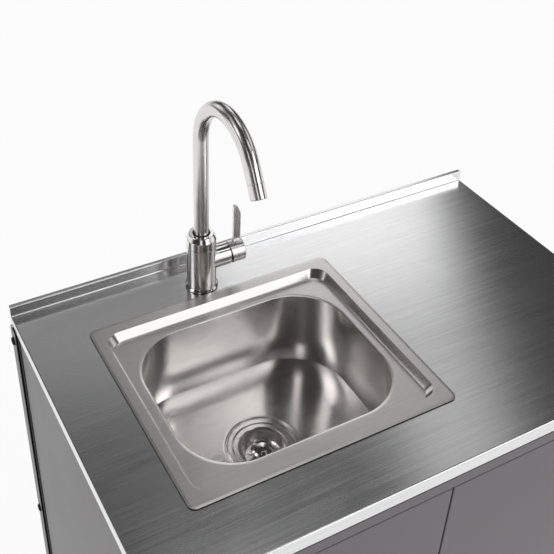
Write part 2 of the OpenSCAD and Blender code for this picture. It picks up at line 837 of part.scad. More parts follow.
// Space for the seal under the rim, with some air above it
module seal_space(air) {
    w = sink_w - 2 * seal_inset;
    d = sink_d - 2 * seal_inset;
    translate([0, 0, z_top]) linear_extrude(seal_t + air) difference() {
        rounded_rect(w, d, rim_r - seal_inset);
        rounded_rect(w - 2 * seal_w, d - 2 * seal_w, rim_r);
    }
}

module sink_seal() color(rubber) translate([sink_x, sink_y, 0]) seal_space(0);

// Sink clips: each one bears under the ledge and its screw pushes on the worktop
module sink_clips() color(steel) clip_places() {
    x0 = -cut_clear - sink_t - bevel_run;
    difference() {
        box_between([x0, -clip_w / 2, -clip_t], [clip_reach, clip_w / 2, 0]);
        translate([clip_reach / 2, 0, -clip_t - cut])
            cylinder(r = clip_screw_r + run_fit, h = clip_t + 2 * cut);
    }
}

module sink_clip_screws() color(steel) clip_places()
    translate([clip_reach / 2, 0, 0]) {
        rise = ledge_z + sink_t - sheet_t;
        low = clip_t + clip_screw_tail;
        translate([0, 0, -low]) cylinder(r = clip_screw_r, h = low + rise);
        translate([0, 0, -low - clip_head_h]) cylinder(r = 2 * clip_screw_r, h = clip_head_h);
    }

// Places of the clips: x points out over the edge of the cut-out, z = 0 under the ledge
module clip_places() {
    z = z_ledge - sink_t;
    for (s = [-1, 1], a = [-1, 1]) {
        translate([sink_x + s * cutout_w / 2, sink_y + a * cutout_d / 4, z])
            rotate([0, 0, s > 0 ? 0 : 180]) children();
        translate([sink_x + a * cutout_w / 4, sink_y + s * cutout_d / 2, z])
            rotate([0, 0, s * 90]) children();
    }
}

// Strainer body: a flange in the recess, a seat for the basket and a cup with a threaded spigot
module strainer_body() color(steel) translate([sink_x, sink_y, 0]) {
    seat_out = z_recess - basket_edge - hand_fit;
    seat_in = seat_out - 0.6;
    crown = z_recess + cup_t + 0.3;
    rotate_extrude() polygon([
        [flange_r, z_recess], [flange_r, z_recess + cup_t / 2], [flange_r - 2, crown],
        [flange_in_r + 1, crown], [flange_in_r, z_recess + cup_t],
        [flange_in_r, seat_out], [cup_r - cup_t, seat_in], [cup_r - cup_t, z_cup + cup_t],
        [spigot_r - pipe_t, z_cup + cup_t], [spigot_r - pipe_t, z_tail], [spigot_r, z_tail],
        [spigot_r, z_cup], [cup_r, z_cup], [cup_r, seat_in - cup_t],
        [flange_in_r + cup_t, seat_out - cup_t], [flange_in_r + cup_t, z_recess]
    ]);
}

// Seal and nut that hold the strainer under the bowl
module drain_seal() color(rubber) translate([sink_x, sink_y, z_drain_seal])
    tube(flange_r, flange_in_r + cup_t + hand_fit, drain_seal_t);

module drain_nut() color(steel) translate([sink_x, sink_y, z_drain_seal - drain_nut_h]) difference() {
    chamfer = flange_in_r + cup_t + hand_fit - cup_r;
    tube(flange_r, cup_r + run_fit, drain_nut_h);
    translate([0, 0, drain_nut_h - chamfer / 2])
        cylinder(r1 = cup_r, r2 = cup_r + chamfer, h = chamfer / 2 + eps);
    nut_grips(flange_r, drain_nut_h);
}

// Tailpiece with the small flange that its nut holds against the spigot
module tailpiece() color(plastic) translate([sink_x, sink_y, z_trap - trap_t]) {
    length = z_tail - z_trap + trap_t;
    tube(tail_r, tail_r - pipe_t, length);
    translate([0, 0, length - tail_flange_t]) tube(spigot_r - hand_fit, tail_r - pipe_t, tail_flange_t);
}

module tail_nut() color(plastic) translate([sink_x, sink_y, z_tail - tail_flange_t - nut_wall / 2])
difference() {
    length = nut_wall / 2 + tail_flange_t + nut_grip;
    cylinder(r = spigot_r + nut_wall, h = length);
    translate([0, 0, -cut]) cylinder(r = tail_r + run_fit, h = length + 2 * cut);
    translate([0, 0, nut_wall / 2]) cylinder(r = spigot_r + run_fit, h = length);
    nut_grips(spigot_r + nut_wall, length);
}

// Finger grooves round a nut
module nut_grips(r, h) {
    for (i = [0 : 11])
        rotate([0, 0, i * 30]) translate([r + 1, 0, -cut]) cylinder(r = 1 + grip_depth, h = h + 2 * cut);
}

// Bottle trap: the upper half with its inlet and side outlet
module trap_body() color(plastic) translate([sink_x, sink_y, z_trap]) difference() {
    union() {
        translate([0, 0, -trap_h]) cylinder(r = trap_r, h = trap_h);
        cylinder(r = tail_r + neck_wall, h = inlet_neck);
        translate([0, 0, -trap_h / 2]) rotate([-90, 0, 0])
            cylinder(r = pipe_r + neck_wall, h = trap_outlet_l);
    }
    translate([0, 0, -trap_h - cut]) cylinder(r = trap_r - trap_t, h = trap_h - trap_t + cut);
    translate([0, 0, -trap_t - cut]) cylinder(r = tail_r + run_fit, h = trap_t + inlet_neck + 2 * cut);
    translate([0, 0, -trap_h / 2]) rotate([-90, 0, 0]) {
        cylinder(r = pipe_r - pipe_t, h = trap_outlet_l + cut);
        translate([0, 0, trap_r + trap_t]) cylinder(r = pipe_r + run_fit, h = outlet_neck);
    }
}

// Cup that screws on under the trap
module trap_cup() color(plastic) translate([sink_x, sink_y, z_trap - trap_h])
difference() {
    slope = trap_r / 5;
    union() {
        translate([0, 0, -trap_cup_h]) cylinder(r1 = trap_r - slope, r2 = trap_r, h = slope);
        translate([0, 0, slope - trap_cup_h]) cylinder(r = trap_r, h = trap_cup_h - slope);
        translate([0, 0, -nut_grip]) cylinder(r = trap_r + nut_wall, h = nut_grip);
    }
    translate([0, 0, trap_t - trap_cup_h])
        cylinder(r1 = trap_r - trap_t - slope, r2 = trap_r - trap_t, h = slope);
    translate([0, 0, trap_t + slope - trap_cup_h - eps]) cylinder(r = trap_r - trap_t, h = trap_cup_h);
    translate([0, 0, -nut_grip]) nut_grips(trap_r + nut_wall, nut_grip);
}

// Nuts on the trap's inlet and outlet
module trap_nuts() color(plastic) {
    translate([sink_x, sink_y, z_trap + inlet_neck - nut_grip]) trap_nut(tail_r);
    translate([sink_x, sink_y + trap_outlet_l - nut_grip, z_outlet]) rotate([-90, 0, 0]) trap_nut(pipe_r);
}

module trap_nut(pipe) difference() {
    neck = pipe + neck_wall;
    length = nut_grip + nut_wall;
    cylinder(r = neck + nut_wall, h = length);
    translate([0, 0, -cut]) cylinder(r = pipe + run_fit, h = length + 2 * cut);
    translate([0, 0, -cut]) cylinder(r = neck + run_fit, h = nut_grip + cut + hand_fit);
    nut_grips(neck + nut_wall, length);
}

// Waste pipe from the trap to the service cut-out, with a wide end for the socket in the wall
module waste_pipe() color(plastic) {
    y0 = y_pipe_stop + hand_fit;
    length = y_back - pipe_inset - y0;
    wide = length - outlet_l;
    narrow = wide - (outlet_r - pipe_r);
    translate([sink_x, y0, z_outlet]) rotate([-90, 0, 0]) rotate_extrude() polygon([
        [pipe_r - pipe_t, 0], [pipe_r, 0], [pipe_r, narrow], [outlet_r, wide], [outlet_r, length],
        [outlet_r - pipe_t, length], [outlet_r - pipe_t, wide], [pipe_r - pipe_t, narrow]
    ]);
}

// Tap seal and base ring
module tap_seal() color(rubber) translate([tap_x, tap_y, z_top])
    tube(tap_base_r - 0.6, shank_r + hand_fit, tap_seal_t);

module tap_base() color(chrome) translate([tap_x, tap_y, 0]) rotate_extrude() polygon([
    [shank_r + hand_fit, z_top + tap_seal_t], [tap_base_r, z_top + tap_seal_t],
    [tap_base_r, z_tap_body - 2], [tap_r + 1, z_tap_body], [shank_r + hand_fit, z_tap_body]
]);

// Tap body: the upright with the mixer barrel on its right side
module tap_body() color(chrome) difference() {
    union() {
        translate([tap_x, tap_y, z_tap_body]) cylinder(r = tap_r, h = z_seam - z_tap_body);
        translate([tap_x, tap_y, z_barrel]) rotate([0, 90, 0]) cylinder(r = barrel_r, h = barrel_end);
    }
    translate([tap_x, tap_y, z_spout_foot - bush_floor])
        cylinder(r = collar_bore_r, h = collar_h + tap_body_h);
    translate([tap_x, tap_y, z_tap_body - cut])
        cylinder(r = shank_r + run_fit, h = z_socket - z_tap_body + cut);
    translate([cartridge_x, tap_y, z_barrel])
        rotate([0, 90, 0]) cylinder(r = barrel_r - barrel_wall, h = barrel_end);
}

// Collar on the body, sloped round its top
module tap_collar() color(chrome) translate([tap_x, tap_y, 0]) rotate_extrude() polygon([
    [collar_bore_r, z_seam + hand_fit], [tap_r - 0.4, z_seam + hand_fit], [tap_r, z_seam + hand_fit + 0.6],
    [tap_r, z_collar - 3 * collar_slope], [tap_r - collar_slope, z_collar], [collar_bore_r, z_collar]
]);

// Bush that guides the spout, with a floor that carries it
module spout_bush() color(rubber) translate([tap_x, tap_y, z_spout_foot - bush_floor]) difference() {
    cylinder(r = collar_bore_r - run_fit, h = spout_sink + bush_floor - bush_drop);
    translate([0, 0, bush_floor - hand_fit]) cylinder(r = spout_r + run_fit, h = spout_sink + bush_floor);
    translate([0, 0, -cut]) cylinder(r = spout_r - 2 * spout_wall, h = spout_sink);
}

// Cartridge in the barrel, with a round seat for the rotor
module tap_cartridge() color(plastic) difference() {
    depth = x_barrel - cartridge_in - cartridge_x;
    translate([cartridge_x, tap_y, z_barrel]) rotate([0, 90, 0])
        cylinder(r = barrel_r - barrel_wall - run_fit, h = depth);
    translate([x_barrel - rotor_l, tap_y, z_barrel]) rotate([0, 90, 0])
        cylinder(r = rotor_r + run_fit, h = rotor_l);
}

// Threaded shank below the body, with two supply inlets in its end
module tap_shank() color(steel) translate([tap_x, tap_y, z_top - shank_l]) difference() {
    cylinder(r = shank_r, h = shank_l + z_socket - z_top - hand_fit);
    for (s = [-1, 1])
        translate([s * (inlet_r + 2.2), 0, -cut]) cylinder(r = inlet_r, h = inlet_l + cut);
}

module tap_clamp_plate() color(steel) translate([tap_x, tap_y, z_top - sheet_t - clamp_t])
    tube(clamp_r, shank_r + hand_fit, clamp_t);

module tap_nut() color(steel) translate([tap_x, tap_y, z_top - sheet_t - clamp_t - shank_nut_h])
difference() {
    cylinder(r = shank_nut_r, h = shank_nut_h, $fn = 6);
    translate([0, 0, -cut]) cylinder(r = shank_r + run_fit, h = shank_nut_h + 2 * cut);
}

// Spout: one bent tube, upright in the collar and bowed forward over the bowl
module spout() color(steel) translate([tap_x, tap_y, 0]) rotate([0, 0, -90]) difference() {
    spout_line(spout_r, 0);
    spout_line(spout_r - spout_wall, cut);
}

// Solid line of the spout with radius r, run past its lower end by extra
module spout_line(r, extra) {
    translate([0, 0, z_spout_foot - extra]) cylinder(r = r, h = z_top + spout_rise - z_spout_foot + extra);
    translate([spout_bend_r, 0, z_top + spout_rise]) mirror([1, 0, 0]) rotate([90, 0, 0])
        rotate_extrude(angle = spout_bend) translate([spout_bend_r, 0]) circle(r = r);
}

// Place of the bend's end: z points out of the spout
module spout_tip() {
    translate([spout_bend_r * (1 - cos(spout_bend)), 0, z_top + spout_rise + spout_bend_r * sin(spout_bend)])
        rotate([0, spout_bend, 0]) children();
}

// Nozzle on the spout's end, with a groove above its aerator housing and ribs across its mouth
module spout_nozzle() color(steel) translate([tap_x, tap_y, 0]) rotate([0, 0, -90]) spout_tip() {
    groove_z = nozzle_l - aerator_l;
    groove_w = 1.2;
    groove_depth = 0.6;
    edge = 1;
    rib_t = 1.2;
    rib_h = 3;
    bore_r = spout_r - 2 * spout_wall;
    difference() {
        union() {
            cylinder(r = spout_r, h = groove_z - groove_w);
            cylinder(r = spout_r - groove_depth, h = groove_z);
            translate([0, 0, groove_z]) cylinder(r = spout_r, h = aerator_l - edge);
            translate([0, 0, nozzle_l - edge]) cylinder(r1 = spout_r, r2 = spout_r - edge, h = edge);
        }
        translate([0, 0, -cut]) cylinder(r = bore_r, h = nozzle_l + 2 * cut);
    }
    translate([0, 0, nozzle_l - 2 * edge - rib_h]) for (a = [0 : 60 : 120])
        rotate([0, 0, a]) translate([-bore_r - spout_wall / 2, -rib_t / 2, 0])
            cube([2 * bore_r + spout_wall, rib_t, rib_h]);
}

// Rotor of the cartridge: turns about the barrel's axis and carries the tilt pin between two ears
module mixer_rotor() color(steel) translate([x_barrel, tap_y, z_barrel]) {
    ear_r = 2.5 * tilt_pin_r;
    pin = ear_gap + 2 * ear_t;
    translate([hand_fit - rotor_l, 0, 0]) rotate([0, 90, 0]) cylinder(r = rotor_r, h = rotor_l);
    for (s = [-1, 1]) translate([0, s * (ear_gap + ear_t) / 2, 0]) {
        translate([0, -ear_t / 2, -ear_r]) cube([pivot_out, ear_t, 2 * ear_r]);
        translate([pivot_out, ear_t / 2, 0]) rotate([90, 0, 0]) cylinder(r = ear_r, h = ear_t);
    }
    translate([pivot_out, -pin / 2, 0]) rotate([-90, 0, 0]) cylinder(r = tilt_pin_r, h = pin);
}

// Lever: a round hub that caps the barrel, its inner stem and the flat upright blade
module mixer_lever() color(chrome) translate([x_barrel, tap_y, z_barrel]) {
    length = hub_end - barrel_end;
    cap_wall = 3;
    stem_r = 2 * tilt_pin_r;
    stem_w = ear_gap - 4 * hand_fit;
    difference() {
        union() {
            difference() {
                rotate([0, 90, 0]) hub_outline(length);
                translate([-cut, 0, 0]) rotate([0, 90, 0])
                    cylinder(r = barrel_r - cap_wall, h = length - 2 * cap_wall + cut);
                hub_wedge();
            }
            translate([pivot_out, -stem_w / 2, -stem_r])
                cube([length - cap_wall - pivot_out, stem_w, 2 * stem_r]);
            translate([pivot_out, -stem_w / 2, 0]) rotate([-90, 0, 0]) cylinder(r = stem_r, h = stem_w);
        }
        translate([pivot_out, -ear_gap, 0]) rotate([-90, 0, 0])
            cylinder(r = tilt_pin_r + run_fit, h = 2 * ear_gap);
    }
    lever_blade(length - blade_in - blade_w);
}

// Outside of the hub, with a rounded far edge
module hub_outline(length) {
    edge = 2;
    rotate_extrude() {
        square([barrel_r - edge, length]);
        square([barrel_r, length - edge]);
        translate([barrel_r - edge, length - edge]) circle(r = edge);
    }
}

// Slanted cut that opens the seam towards the bottom, so that the lever can tilt
module hub_wedge() {
    far = barrel_r + 2;
    slope = (hub_gap_low - hub_gap_top) / (2 * barrel_r);
    translate([0, far, 0]) rotate([90, 0, 0]) linear_extrude(2 * far) polygon([
        [-cut, far], [hub_gap_top - 2 * slope, far], [hub_gap_low + 2 * slope, -far], [-cut, -far]
    ]);
}

// Flat blade with a slanted outer corner
module lever_blade(x0) {
    tip = blade_w / 2;
    translate([x0, blade_t / 2, 0]) rotate([90, 0, 0]) linear_extrude(blade_t) {
        polygon([
            [0, barrel_r - 2], [blade_w, barrel_r - 2], [blade_w, blade_h - blade_slant], [tip, blade_h - 1],
            [tip - 1.5, blade_h], [2, blade_h], [0.6, blade_h - 0.6], [0, blade_h - 2]
        ]);
    }
}

// Basket of the strainer, with slots round its floor
module strainer_basket() color(steel) translate([sink_x, sink_y, z_recess]) difference() {
    rotate_extrude() polygon([
        [basket_rim_r, -basket_edge], [basket_rim_r, 0.5], [basket_rim_r - 1, 0.9], [basket_r + 1, 0.9],
        [basket_r, 0.3], [basket_r - 2.5, -4], [basket_floor_r + 4, 4 - basket_h],
        [basket_floor_r, 1 - basket_h], [0, 1 - basket_h], [0, -basket_h], [basket_floor_r + 0.6, -basket_h],
        [basket_floor_r + 5, 3.4 - basket_h], [basket_r - 1.5, -4.5], [basket_r + 0.8, -basket_edge]
    ]);
    for (i = [0 : slot_count - 1])
        rotate([0, 0, i * 360 / slot_count]) slot();
}

module slot() {
    in_r = 14;
    out_r = basket_floor_r - 4;
    width = 2.2;
    translate([in_r, -width / 2, -basket_h - cut]) cube([out_r - in_r, width, 2 * cut]);
    for (x = [in_r, out_r])
        translate([x, 0, -basket_h - cut]) cylinder(r = width / 2, h = 2 * cut);
}

// Knob in the middle of the basket
module strainer_knob() color(chrome) translate([sink_x, sink_y, z_recess + 1 - basket_h])
    rotate_extrude() polygon([
        [0, 0], [8, 0], [8, 1.5], [5, 3], [5, basket_h - 12], [knob_r - 2, basket_h - 9.5],
        [knob_r, basket_h - 7.5], [knob_r - 0.6, basket_h - 5.6], [knob_r - 4, basket_h - 3.4],
        [knob_r - 10, basket_h - 1.6], [0, basket_h - 1]
    ]);

// Door skin: the outer tray, open at the back, with a bore for each hinge bush
module door_skin() color(grey_paint) difference() {
    translate([door_x, y_door_back, door_z]) rotate([90, 0, 0])
        folded_pan(door_w, door_h, door_t, door_sheet);
    translate([-pivot_x, pivot_y, z_door_low - cut]) cylinder(r = bush_r + run_fit, h = door_h + 2 * cut);
}

// Door liner: the inner tray that closes the door's back
module door_liner() color(grey_paint) difference() {
    fit = 2 * (door_sheet + hand_fit);
    translate([door_x, y_door_back - liner_rim, door_z]) rotate([-90, 0, 0])
        folded_pan(door_w - fit, door_h - fit, liner_rim, door_sheet);
    translate([-pivot_x, pivot_y, z_door_low - cut]) cylinder(r = bush_r + run_fit, h = door_h + 2 * cut);
}

// Plastic bushes in the door's ends
module door_bushes() color(rubber) {
    translate([-pivot_x, pivot_y, z_door_low]) bush();
    translate([-pivot_x, pivot_y, z_door_high]) mirror([0, 0, 1]) bush();
}

module bush() {
    difference() {
        union() {
            cylinder(r = bush_r, h = pin_l + bush_end);
            translate([0, 0, -bush_flange_t]) cylinder(r = bush_flange_r, h = bush_flange_t);
        }
        translate([0, 0, -bush_flange_t - cut])
            cylinder(r = pin_r + run_fit, h = pin_l + hand_fit + bush_flange_t + cut);
    }
}

// Bar handle: an upright bar on two round feet
module door_handle() color(steel) {
    x = -door_gap / 2 - handle_edge;
    y = y_front - handle_out + handle_r;
    translate([x, y, door_z - handle_l / 2]) cylinder(r = handle_r, h = handle_l);
    for (s = [-1, 1])
        translate([x, y, door_z + s * (handle_l / 2 - handle_foot_in)]) rotate([-90, 0, 0])
            cylinder(r = handle_foot_r, h = handle_out - handle_r);
}

module door_left_skin() door_skin();

module door_left_liner() door_liner();

module door_left_bushes() door_bushes();

module door_left_handle() door_handle();

module door_right_skin() mirror([1, 0, 0]) door_skin();

module door_right_liner() mirror([1, 0, 0]) door_liner();

module door_right_bushes() mirror([1, 0, 0]) door_bushes();

module door_right_handle() mirror([1, 0, 0]) door_handle();

// Levelling foot: a round pad, a hexagon for the spanner and a threaded stem
module foot(x, y) color(rubber) translate([x, y, 0]) {
    cylinder(r = foot_r, h = foot_pad_h / 2);
    translate([0, 0, foot_pad_h / 2]) cylinder(r1 = foot_r, r2 = 2 * foot_stem_r, h = foot_pad_h / 2);
    cylinder(r = 2 * foot_stem_r, h = foot_gap - hand_fit, $fn = 6);
    cylinder(r = foot_stem_r, h = foot_gap + foot_stem_l);
}

module foot_front_left() foot(-post_x, post_front_y);

module foot_front_right() foot(post_x, post_front_y);

module foot_rear_left() foot(-post_x, post_rear_y);

module foot_rear_right() foot(post_x, post_rear_y);

worktop();
worktop_stiffeners();
front_rail_top();
front_rail_bottom();
rear_rail_top();
rear_rail_bottom();
side_rail_left();
side_rail_right();
post_front_left();
post_front_right();
post_rear_left();
post_rear_right();
side_panel_left();
side_panel_right();
back_panel();
bottom_panel();
panel_screws();
hinge_pins();
door_bumpers();
magnetic_catches();
sink();
sink_seal();
sink_clips();
sink_clip_screws();
strainer_body();
drain_seal();
drain_nut();
tailpiece();
tail_nut();
trap_body();
trap_cup();
trap_nuts();
waste_pipe();
tap_seal();
tap_base();
tap_body();
tap_collar();
spout_bush();
tap_cartridge();
tap_shank();
tap_clamp_plate();
tap_nut();
spout();
spout_nozzle();
mixer_rotor();
mixer_lever();
strainer_basket();
strainer_knob();
door_left_skin();
door_left_liner();
door_left_bushes();
door_left_handle();
door_right_skin();
door_right_liner();
door_right_bushes();
door_right_handle();
foot_front_left();
foot_front_right();
foot_rear_left();
foot_rear_right();
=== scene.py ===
import json
from math import acos, atan2, cos, pi, radians, sin, tau
import bpy
import bmesh
from mathutils import Matrix, Vector


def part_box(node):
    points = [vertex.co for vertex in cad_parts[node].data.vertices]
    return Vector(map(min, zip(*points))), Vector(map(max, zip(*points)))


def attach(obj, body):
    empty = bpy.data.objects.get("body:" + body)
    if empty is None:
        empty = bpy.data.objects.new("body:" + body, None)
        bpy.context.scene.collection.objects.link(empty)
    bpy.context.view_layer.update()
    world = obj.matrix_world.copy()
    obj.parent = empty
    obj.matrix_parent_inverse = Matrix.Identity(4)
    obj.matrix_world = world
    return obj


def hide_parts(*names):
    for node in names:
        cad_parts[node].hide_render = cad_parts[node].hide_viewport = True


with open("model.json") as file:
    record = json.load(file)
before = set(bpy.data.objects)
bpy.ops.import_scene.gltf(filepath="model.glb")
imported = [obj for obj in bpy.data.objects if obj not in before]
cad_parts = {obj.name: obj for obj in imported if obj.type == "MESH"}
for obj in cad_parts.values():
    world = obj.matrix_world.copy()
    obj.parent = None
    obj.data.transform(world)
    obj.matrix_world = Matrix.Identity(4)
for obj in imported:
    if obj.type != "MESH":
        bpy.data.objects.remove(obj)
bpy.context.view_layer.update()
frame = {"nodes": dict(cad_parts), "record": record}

mm = 0.001
mergeDistance = 0.001 * mm     # points nearer than this become one
looseDistance = 0.01 * mm      # the same for the points of a CAD node
cutLimit = 0.48                # how much of a leg a rounded corner may take
bevelSamples = 4
tubeRadius = 12.3 * mm         # of the spout
satinDepth = 18 * mm           # the sink's rim, step and ledge lie above this depth
barrelBlend = 2 * mm           # where the brush lines of the tap's body change over to its barrel's
brushLine = (1, 0, 0)
spareLine = (0, 0.02, 0)       # where a face looks along the brush lines
uprightGrain = (0, pi / 2, 0)


# Node helpers

def addNode(tree, kind, inputs=None, **settings):
    node = tree.nodes.new(kind)
    for name, value in settings.items():
        setattr(node, name, value)
    for key, value in (inputs or {}).items():
        if isinstance(value, bpy.types.NodeSocket):
            tree.links.new(value, node.inputs[key])
        else:
            node.inputs[key].default_value = value
    return node


def maths(tree, operation, a, b=0.0, c=0.0):
    return addNode(tree, "ShaderNodeMath", {0: a, 1: b, 2: c}, operation=operation).outputs[0]


def vectorMaths(tree, operation, a, b=(0, 0, 0)):
    node = addNode(tree, "ShaderNodeVectorMath", {0: a, 1: b}, operation=operation)
    return node.outputs["Value" if operation == "DOT_PRODUCT" else "Vector"]


def smoothStep(tree, value, low, high, toLow=0.0, toHigh=1.0):
    node = addNode(tree, "ShaderNodeMapRange", {"Value": value, "From Min": low, "From Max": high,
                   "To Min": toLow, "To Max": toHigh}, interpolation_type="SMOOTHSTEP")
    return node.outputs["Result"]


def mixColour(tree, factor, a, b):
    return addNode(tree, "ShaderNodeMix", {0: factor, 6: a, 7: b}, data_type="RGBA").outputs[2]


def mixValue(tree, factor, a, b):
    return addNode(tree, "ShaderNodeMix", {0: factor, 2: a, 3: b}, data_type="FLOAT").outputs[0]


def makeGroup(name, kind, inputs, outputs):
    tree = bpy.data.node_groups.new(name, kind)
    for label, socket, value in inputs:
        item = tree.interface.new_socket(name=label, in_out="INPUT", socket_type=socket)
        if value is not None:
            item.default_value = value
    for label, socket in outputs:
        tree.interface.new_socket(name=label, in_out="OUTPUT", socket_type=socket)
    return tree, tree.nodes.new("NodeGroupInput"), tree.nodes.new("NodeGroupOutput")


def placeGroup(tree, group, inputs):
    return addNode(tree, "ShaderNodeGroup", inputs, node_tree=group)


def bevelNormal(tree, radius):
    return addNode(tree, "ShaderNodeBevel", {"Radius": radius}, samples=bevelSamples).outputs[0]


def faceNormal(tree):
    return addNode(tree, "ShaderNodeNewGeometry").outputs["Normal"]


def separated(tree, vector, axis):
    return addNode(tree, "ShaderNodeSeparateXYZ", {0: vector}).outputs[axis]


def combined(tree, x, y, z):
    return addNode(tree, "ShaderNodeCombineXYZ", {0: x, 1: y, 2: z}).outputs[0]


def noiseValue(tree, vector, scale, detail, **inputs):
    settings = {"Vector": vector, "Scale": scale, "Detail": detail, **inputs}
    return addNode(tree, "ShaderNodeTexNoise", settings).outputs["Fac"]


# Camera: solved from the edges of the worktop, sink and tap

camera = {
    "eye": (-0.6700, -0.8582, 1.9158),
    "azimuth": 29.38,         # degrees to the right of straight ahead
    "elevation": 34.0,        # degrees downwards
    "roll": 1.74,
    "focalPixels": 935.94,
    "centrePixel": (250.25, 190.33),
    "imagePixels": 554,
    "sensor": 36.0,
}


def setCamera():
    c = camera
    data = bpy.data.cameras.new("photoCamera")
    data.sensor_width = c["sensor"]
    data.lens = c["focalPixels"] / c["imagePixels"] * c["sensor"]
    half = c["imagePixels"] / 2
    data.shift_x = (half - c["centrePixel"][0]) / c["imagePixels"]
    data.shift_y = (c["centrePixel"][1] - half) / c["imagePixels"]
    az, el = radians(c["azimuth"]), radians(c["elevation"])
    look = Vector((sin(az) * cos(el), cos(az) * cos(el), -sin(el)))
    turn = look.to_track_quat("-Z", "Y").to_matrix() @ Matrix.Rotation(radians(c["roll"]), 3, "Z")
    cam = bpy.data.objects.new("photoCamera", data)
    cam.matrix_world = Matrix.Translation(c["eye"]) @ turn.to_4x4()
    bpy.context.scene.collection.objects.link(cam)
    bpy.context.scene.camera = cam


# Studio: one soft surround, brighter panels in it, a pale floor

studio = {
    "fill": 0.7,              # even light on everything that isn't a mirror
    "dark": 0.04,             # what metal sees between the panels
    "whiteTop": 0.05,         # metal sees the white backdrop up to this sine of the elevation
    "floorColour": (0.86, 0.86, 0.86, 1),
    "floorWhite": 0.93,       # how far the floor goes to plain white where it is seen
    "floorHalf": 7.0,
    "white": (1, 1, 1, 1),
}
# azimuth from +Y towards +X, elevation, half width and half height, soft edge and lean, all in degrees
panels = [
    {"azimuth": 32, "elevation": 30, "wide": 7.5, "high": 12, "lean": 19, "soft": 3, "light": 1.22},
    {"azimuth": 16, "elevation": 42, "wide": 7, "high": 3, "soft": 5, "light": 0.5},
    {"azimuth": 48, "elevation": 47, "wide": 3, "high": 6, "lean": 30, "soft": 4, "light": 0.55},
    {"azimuth": 143, "elevation": 33, "wide": 12, "high": 6, "soft": 3, "light": 2.6},
    {"azimuth": 154, "elevation": 15, "wide": 18, "high": 11, "soft": 4, "light": 2.1},
    {"azimuth": 148, "elevation": 57, "wide": 9, "high": 3.5, "soft": 3, "light": 2.4},
    {"azimuth": 207, "elevation": 16, "wide": 8, "high": 8, "soft": 5, "light": 1.0},
    {"azimuth": 220, "elevation": 36, "wide": 5, "high": 9, "soft": 4, "light": 1.2},
    {"azimuth": 290, "elevation": 14, "wide": 20, "high": 9, "soft": 8, "light": 1.2},
    {"azimuth": 300, "elevation": 55, "wide": 20, "high": 10, "soft": 8, "light": 0.4},
    {"azimuth": 345, "elevation": 22, "wide": 12, "high": 12, "soft": 8, "light": 1.0},
    {"azimuth": 95, "elevation": 34, "wide": 18, "high": 12, "soft": 6, "light": 0.8},
    {"azimuth": 50, "elevation": 68, "wide": 9, "high": 7, "soft": 4, "light": 1.6},
    {"azimuth": 281, "elevation": 45, "wide": 9, "high": 9, "soft": 5, "light": 1.8},
]


def lightPanel(tree, direction, panel):
    az, el = radians(panel["azimuth"]), radians(panel["elevation"])
    ahead = Vector((sin(az) * cos(el), cos(az) * cos(el), sin(el)))
    side = Vector((cos(az), -sin(az), 0))
    up = side.cross(ahead)
    lean = radians(panel.get("lean", 0))
    side, up = side * cos(lean) - up * sin(lean), side * sin(lean) + up * cos(lean)
    depth = vectorMaths(tree, "DOT_PRODUCT", direction, ahead)
    light = panel["light"]
    for axis, half in ((side, panel["wide"]), (up, panel["high"])):
        reach = vectorMaths(tree, "DOT_PRODUCT", direction, axis)
        angle = maths(tree, "ABSOLUTE", maths(tree, "ARCTAN2", reach, depth))
        inner, outer = radians(half - panel["soft"] / 2), radians(half + panel["soft"] / 2)
        edge = smoothStep(tree, angle, inner, outer, 1, 0)
        light = maths(tree, "MULTIPLY", edge, light)
    return light


def seenDirectly(tree):
    return addNode(tree, "ShaderNodeLightPath").outputs["Is Camera Ray"]


def seenInSurfaces(tree):
    path = addNode(tree, "ShaderNodeLightPath")
    return maths(tree, "MAXIMUM", path.outputs["Is Glossy Ray"], path.outputs["Is Transmission Ray"])


def setWorld():
    world = bpy.data.worlds.new("studioSurround")
    bpy.context.scene.world = world
    world.use_nodes = True
    tree = world.node_tree
    tree.nodes.clear()
    direction = addNode(tree, "ShaderNodeTexCoord").outputs["Generated"]
    height = separated(tree, direction, "Z")
    total = studio["dark"]
    for panel in panels:
        total = maths(tree, "ADD", lightPanel(tree, direction, panel), total)
    mirrored = seenInSurfaces(tree)
    strength = mixValue(tree, mirrored, studio["fill"], total)
    surround = addNode(tree, "ShaderNodeBackground", {"Color": studio["white"], "Strength": strength})
    white = addNode(tree, "ShaderNodeBackground", {"Color": studio["white"], "Strength": 1.0})
    low = smoothStep(tree, height, 0.0, studio["whiteTop"], 1, 0)
    share = maths(tree, "MAXIMUM", seenDirectly(tree), maths(tree, "MULTIPLY", mirrored, low))
    mix = addNode(tree, "ShaderNodeMixShader", {0: share, 1: surround.outputs[0], 2: white.outputs[0]})
    addNode(tree, "ShaderNodeOutputWorld", {"Surface": mix.outputs[0]})


def setFloor():
    half = studio["floorHalf"]
    mesh = bpy.data.meshes.new("studioFloor")
    corners = [(-half, -half, 0), (half, -half, 0), (half, half, 0), (-half, half, 0)]
    mesh.from_pydata(corners, [], [(0, 1, 2, 3)])
    floor = bpy.data.objects.new("studioFloor", mesh)
    bpy.context.scene.collection.objects.link(floor)
    material = bpy.data.materials.new("paleFloor")
    material.use_nodes = True
    tree = material.node_tree
    tree.nodes.clear()
    paint = addNode(tree, "ShaderNodeBsdfDiffuse", {"Color": studio["floorColour"]})
    white = addNode(tree, "ShaderNodeEmission", {"Color": studio["white"], "Strength": 1.0})
    seen = maths(tree, "MAXIMUM", seenDirectly(tree), seenInSurfaces(tree))
    share = maths(tree, "MULTIPLY", seen, studio["floorWhite"])
    mix = addNode(tree, "ShaderNodeMixShader", {0: share, 1: paint.outputs[0], 2: white.outputs[0]})
    addNode(tree, "ShaderNodeOutputMaterial", {"Surface": mix.outputs[0]})
    mesh.materials.append(material)


